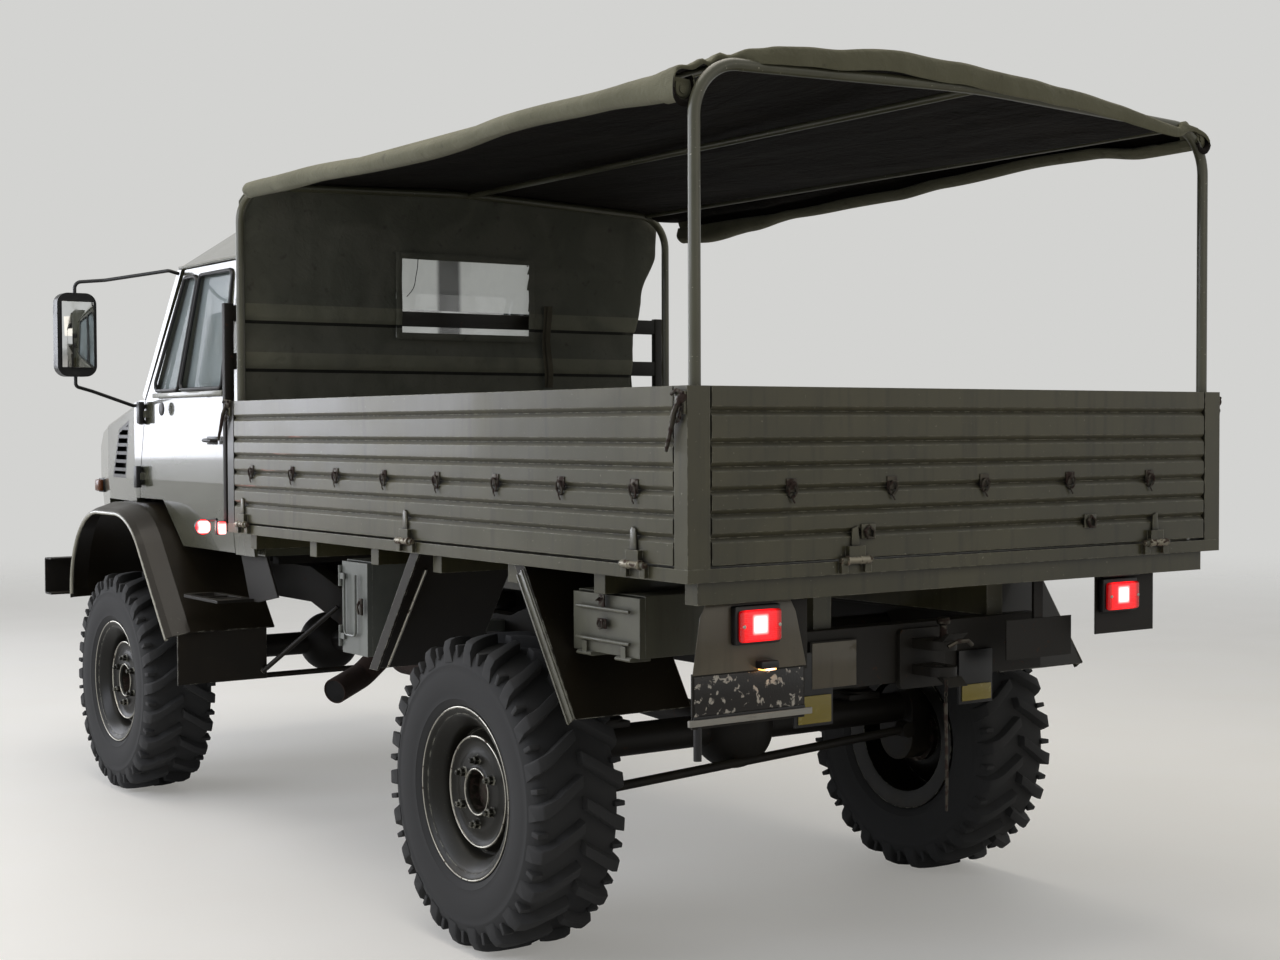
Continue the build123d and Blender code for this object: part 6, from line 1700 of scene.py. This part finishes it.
@dataclass(frozen=True)
class Seats:
    """Two seats, each a padded cushion and a padded back on a steel box."""

    middle: float = 0.48
    cushion: Point = (0.43, 0.48, 0.1)
    back: Point = (0.45, 0.524, 0.092)
    corner: float = 0.034
    crown: float = 0.022
    pull: float = 0.016
    channels: tuple[float, ...] = (-0.46, 0.0, 0.46)

    def skin(self, size: Point, a: float, b: float, c: float) -> Vector:
        """A point of a pad's skin: rounded edges, a crowned top, sides drawn in and sewn channels.

        Args:
            size: the pad's width, length and thickness.
            a: share across, from minus one to one.
            b: share along.
            c: share through the thickness.

        Returns:
            The point round the pad's own middle.
        """
        half = Vector(size) / 2
        flat = Vector((a * half.x, b * half.y, c * half.z))
        inner = Vector([max(-h + self.corner, min(h - self.corner, p)) for p, h in zip(flat, half)])
        out = flat - inner
        point = inner + out.normalized() * self.corner if out.length > 0 else flat
        open_a, open_b = 1 - a * a, 1 - b * b
        point.x -= a * self.pull * open_b * abs(a) ** 3
        point.y -= b * self.pull * open_a * abs(b) ** 3
        if c > 0:
            sewn = sum(math.exp(-((a - line) / 0.055) ** 2) for line in self.channels)
            point.z += c * (self.crown * (open_a * open_b) ** 0.5 - 0.013 * sewn * min(1.0, open_b * 4))
            point.z += c * 0.0035 * noise.noise(Vector((a * 3, b * 3, size[1] * 9)))
        return point

    def pad(self, name: str, size: Point, place: Matrix) -> None:
        """One closed pad with piping round its upper edge.

        Args:
            name: the piece's name.
            size: its width, length and thickness.
            place: turns and moves it from round its own middle.
        """
        shape = Shape()
        bmesh.ops.create_cube(shape.bm, size=2)
        bmesh.ops.subdivide_edges(shape.bm, edges=shape.bm.edges[:], cuts=35, use_grid_fill=True)
        for vert in shape.bm.verts:
            vert.co = self.skin(size, *vert.co)
        steps = [k / 12 - 1 for k in range(25)]
        border = [(sign * a, sign * b) for sign in (1, -1) for line in (
            [(t, -1.0) for t in steps], [(1.0, t) for t in steps]) for a, b in line]
        ring = [self.skin(size, a * 0.999, b * 0.999, 0.999) for a, b in border]
        kept = [p for p, q in zip(ring, ring[1:] + ring[:1]) if (p - q).length > 0.002]
        shape.wears(1).tube(kept, 0.0045, 6, closed=True)
        bmesh.ops.transform(shape.bm, matrix=place, verts=shape.bm.verts)
        piece = shape.piece(name, "chassis", "seat_vinyl", Finish.VINYL, Finish.SEAL, smooth=60, replaces=["seats"])

    def build(self) -> None:
        """Boxes, rails, cushions and backs."""
        frame = Shape()
        for name, side in SIDES.items():
            x = side * self.middle
            frame.box((x - 0.19, -1.08, 1.21), (x + 0.19, -0.68, 1.372), 0.012)
            frame.box((x - 0.205, -1.115, 1.372), (x + 0.205, -0.66, 1.402), 0.006)
            for rail in (-0.15, 0.15):
                frame.box((x + rail - 0.02, -1.12, 1.17), (x + rail + 0.02, -0.64, 1.212), 0.004)
                frame.tube(((x + rail, -0.668, 1.395), (x + rail, -0.64, 1.5), (x + rail, -0.575, 1.9)), 0.011, 8)
            self.pad(name + "_seat_cushion", self.cushion, Matrix.Translation((x, -0.89, 1.45)))
            tilt = Matrix(((1, 0, 0, x), (0, 0.152, -0.988, -0.603), (0, 0.988, 0.152, 1.762), (0, 0, 0, 1)))
            self.pad(name + "_seat_back", self.back, tilt)
        frame.piece("seat_frames", "chassis", "seat_vinyl", Finish.CHASSIS, replaces=["seats"])


@dataclass(frozen=True)
class Cockpit:
    """Boss and spokes of the steering wheel, and blank dials and switches on the dashboard."""

    wheel: Point = (0.43, -1.2, 1.795)
    slope: Point = (0.0, 0.75, 0.66)

    def tilted(self, shape: Shape, place: Point) -> Shape:
        """Turn a shape made along Z onto the dashboard's slope, and move it to its place."""
        turn = Vector(self.slope).to_track_quat("Z", "X").to_matrix().to_4x4()
        bmesh.ops.transform(shape.bm, matrix=Matrix.Translation(place) @ turn, verts=shape.bm.verts)
        return shape

    def build(self) -> None:
        """Boss and spokes of the wheel, then four dials and a row of switches."""
        boss = Shape().lathe(((-0.05, 0.0), (-0.05, 0.03), (0.0, 0.046), (0.014, 0.044), (0.022, 0.034), (0.024, 0.0)),
                             (0, 0, 0), "Z", 32)
        for a in around(3):
            a += math.pi / 2
            boss.tube(((0.03 * math.cos(a), 0.03 * math.sin(a), 0.002), (0.12 * math.cos(a), 0.12 * math.sin(a), 0.003),
                       (0.2 * math.cos(a), 0.2 * math.sin(a), 0.0)), (0.014, 0.011, 0.012), 8)
        self.tilted(boss, self.wheel).piece("steering_wheel_boss", "chassis", "black_plastic", Finish.BLACK)
        dials = Shape()
        for x, radius in ((-0.165, 0.032), (-0.06, 0.05), (0.06, 0.05), (0.165, 0.032)):
            dials.wears(0).lathe(((-0.004, radius + 0.008), (0.008, radius + 0.008), (0.012, radius + 0.003),
                                  (0.006, radius)), (x, 0, 0), "Z", 32, closed=True)
            dials.wears(1).lathe(((-0.003, 0.0), (-0.003, radius), (0.003, radius), (0.003, 0.0)), (x, 0, 0), "Z", 32)
            dials.wears(2).box((x - 0.0012, 0.0, 0.003), (x + 0.0012, radius * 0.75, 0.0042))
        for k in range(7):
            dials.wears(0).box((-0.62 + k * 0.05, -0.014, 0.0), (-0.6 + k * 0.05, 0.014, 0.01), 0.003)
        self.tilted(dials, (0.43, -1.365, 1.7)).piece("dials_and_switches", "chassis", "black_plastic", Finish.BLACK,
                                                      Finish.VINYL, Finish.WHITE)


@dataclass(frozen=True)
class FrontEnd:
    """Headlamps, indicators, screen seals, wipers, a black sheet of painted shade behind the grille, blank plate and
    bolts.
    """

    repeat: Repeat
    lamp: Point = (0.64, -2.594, 1.24)
    wiper_z: float = 1.838

    def on_screen(self, x: float, z: float, lift: float) -> Point:
        """A point over the windscreen's outer face, lifted off it."""
        return (x, -1.604 + (z - 1.874) * 0.5699 - 0.869 * lift, z + 0.495 * lift)

    def headlamps(self) -> None:
        """Rim, silvered bowl, bulb and fluted glass, and the amber indicator in its housing."""
        shape = Shape().lathe(((-0.02, 0.101), (0.058, 0.101), (0.068, 0.098), (0.072, 0.092), (0.068, 0.087),
                               (0.06, 0.086), (-0.02, 0.086)), self.lamp, "Y", 64, -1, closed=True)
        shape.wears(1).lathe(((0.0, 0.0), (0.0, 0.022), (0.004, 0.04), (0.02, 0.064), (0.04, 0.08), (0.058, 0.0865),
                              (0.056, 0.0875), (0.01, 0.066), (-0.006, 0.04), (-0.008, 0.0)), self.lamp, "Y", 64, -1)
        shape.wears(2).lathe(((0.0, 0.0), (0.0, 0.01), (0.028, 0.01), (0.036, 0.005), (0.038, 0.0)), self.lamp, "Y", 24,
                             -1)
        shape.wears(3).lathe(((0.061, 0.0865), (0.067, 0.08), (0.075, 0.06), (0.079, 0.03), (0.08, 0.0), (0.076, 0.0),
                              (0.071, 0.058), (0.06, 0.082)), self.lamp, "Y", 64, -1)
        shape.wears(4).box((0.834, -2.558, 1.35), (0.862, -2.482, 1.42), 0.004)
        shape.wears(5).box((0.858, -2.553, 1.355), (0.885, -2.487, 1.415), 0.01, 3)
        shape.mirrored().piece("headlamps_and_indicators", "chassis", "clear_glass", Finish.BRIGHT, Finish.SILVER,
                               Finish.WHITE, Finish.CLEAR, Finish.BLACK, Finish.AMBER, replaces=["front_lamps"])

    def screens(self) -> None:
        """Rubber seals round the windscreen and the rear window, and a black sheet behind the grille that paints the
        shade inside it.
        """
        shape = Shape()
        front = [self.on_screen(x, z, 0.014) for x, z in (
            (-0.888, 1.876), (0.888, 1.876), (0.845, 2.328), (-0.845, 2.328))]
        rear = ((-0.56, -0.446, 1.9), (0.56, -0.446, 1.9), (0.56, -0.446, 2.26), (-0.56, -0.446, 2.26))
        for outline, thick in ((front, 0.013), (rear, 0.01)):
            shape.tube(loop(outline, 0.05, 5), thick, 8, closed=True)
        # A black sheet behind the grille stands for the shade in the space behind it.
        shape.box((-0.432, -2.6115, 1.136), (0.432, -2.606, 1.434))
        shape.piece("screen_seals", "chassis", "black_plastic", Finish.SEAL)

    def wipers(self) -> None:
        """Two wipers parked along the foot of the windscreen."""
        shape = Shape()
        for x in (0.52, -0.2):
            shape.tube([self.on_screen(x, self.wiper_z, lift) for lift in (0.01, 0.04)], 0.013, 12)
            shape.tube([self.on_screen(x + dx, self.wiper_z + dz, lift) for dx, dz, lift in (
                (0, 0, 0.036), (-0.1, 0.026, 0.04), (-0.26, 0.062, 0.03))], (0.008, 0.006, 0.004), 8, 0.6)
            shape.tube([self.on_screen(x + dx, self.wiper_z + dz, lift) for dx, dz, lift in (
                (-0.02, 0.052, 0.012), (-0.14, 0.058, 0.017), (-0.26, 0.064, 0.018), (-0.38, 0.07, 0.017),
                (-0.5, 0.076, 0.012))], 0.0055, 6)
        shape.piece("wipers", "chassis", "black_plastic", Finish.BLACK)

    def bumper(self) -> None:
        """A blank plate and eight bolts on the bumper."""
        Shape().box((-0.26, -2.7845, 0.868), (0.26, -2.7805, 0.978), 0.0015).piece(
            "blank_front_plate", "chassis", "black_plastic", Finish.WHITE)
        bolt = Shape().lathe(((-0.002, 0.014), (0.004, 0.014), (0.005, 0.011), (0.011, 0.011), (0.012, 0.009),
                              (0.012, 0.0)), (0, 0, 0), "Y", 6, -1)
        bolts = [self.repeat.mesh(bolt.mesh("bolt"), Finish.CHASSIS, 2, (0.335, -2.781, 0.895), (0, 0, 0.06))]
        for shift in (0.06, -0.67, -0.73):
            again = bolts[0].copy()
            again.transform(Matrix.Translation((shift, 0, 0)))
            bolts.append(again)
        settle(joined("bumper_bolts", *bolts), "chassis")

    def build(self) -> None:
        """Fit the front."""
        self.headlamps()
        self.screens()
        self.wipers()
        self.bumper()


@dataclass(frozen=True)
class FrontRack:
    """The rack behind the cab, as low as the photograph shows it, and what hangs on the front wall."""

    x: float = 1.062
    top: float = 2.172

    def posts(self) -> None:
        """Two square posts on their feet, and two flat slats."""
        shape = Shape()
        for side in SIDES.values():
            x = side * self.x
            shape.box((x - 0.02, -0.403, 1.253), (x + 0.02, -0.373, self.top), 0.003)
            shape.box((x - 0.02, -0.376, 1.258), (x + 0.02, -0.322, 1.285), 0.002)
        for low, high in Canopy.SLATS:
            shape.box((-self.x, -0.4, low), (self.x, -0.376, high), 0.004)
        shape.piece("rack_posts_and_slats", "chassis", "chassis_black", Finish.CHASSIS, replaces=["front_rack"])

    def straps(self) -> None:
        """A folded strap that hangs on the wall right of the window."""
        shape = Shape()
        for x, sway in ((-0.392, 0.0), (-0.405, 0.008)):
            path = [(x + 0.006 * math.sin(z * 21 + x * 40), -0.2985 + sway + 0.004 * math.sin(z * 17), z)
                    for z in (2.205 - 0.03 * k for k in range(13))]
            shape.tube(path, 0.013, 8, 0.14, across=(1, 0, 0))
        shape.piece("wall_straps", "chassis", "tarpaulin", Finish.WEBBING)

    def window_cord(self) -> None:
        """The thin cord that hangs loose from the top of the window."""
        points = ((0.237, -0.3125, 2.392), (0.24, -0.309, 2.352), (0.252, -0.307, 2.305), (0.257, -0.306, 2.274),
                  (0.27, -0.306, 2.246), (0.295, -0.307, 2.222))
        data = bpy.data.curves.new("window_cord", "CURVE")
        data.dimensions = "3D"
        data.bevel_depth = 0.0017
        data.bevel_resolution = 3
        spline = data.splines.new("NURBS")
        spline.points.add(len(points) - 1)
        for point, place in zip(spline.points, points):
            point.co = (*place, 1)
        spline.order_u = 3
        spline.use_endpoint_u = True
        data.materials.append(Finish.SEAL.material())
        cord = placed("window_cord", data)
        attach(cord, "chassis")

    def build(self) -> None:
        """Fit the rack and the wall."""
        self.posts()
        self.straps()
        self.window_cord()


# What each node that keeps its own mesh wears.
WORN = {
    Finish.CHASSIS: "ladder_frame front_bumper engine_block front_axle rear_axle fuel_tank knuckle_left knuckle_right "
                    "tie_rod tow_hitch rear_lamp_bar dampers cab_steps",
    Finish.RUSTY: "exhaust",
    Finish.GREY: "can_locker locker_door",
    Finish.BOX: "toolbox toolbox_door",
    Finish.WING: "front_wings rear_mudguards",
    Finish.CAB: "cab_floor cab_back cab_roof cab_front nose_panel bonnet door_left door_right",
    Finish.BED: "bed_floor headboard gate_left gate_right tailgate",
    Finish.POST: "bed_posts",
    Finish.TUBE: "canopy_bows",
    Finish.BLACK: "grille mirrors side_vents dashboard",
    Finish.PANE: "cab_glass door_glass_left door_glass_right",
}


def dress_nodes() -> None:
    """Give every node that keeps its own mesh its finish."""
    for finish, names in WORN.items():
        for name in names.split():
            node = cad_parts[name]
            node.data.materials.clear()
            node.data.materials.append(finish.material())
            log.info("%s wears %s", name, finish.value.name)


def main() -> None:
    """Build the truck's looks piece by piece."""
    logging.basicConfig(level=logging.INFO, format="%(name)s: %(message)s")
    dress_nodes()
    Stage().build()
    repeat = Repeat()
    for end, y in (("f", FRONT_AXLE), ("r", REAR_AXLE)):
        for name, side in SIDES.items():
            wheel = Wheel(end + name[0], (side * HALF_TRACK, y, HUB_Z), side, repeat)
            wheel.tyre()
            wheel.rim()
    canopy = Canopy()
    canopy.roof()
    canopy.roll_ends()
    canopy.wall()
    canopy.window()
    GateFittings(repeat).build()
    RearLights().build()
    Undercarriage().build()
    Boxes().build()
    CabDetails().build()
    Seats().build()
    Cockpit().build()
    FrontEnd(repeat).build()
    FrontRack().build()


if __name__ == "__main__":
    main()
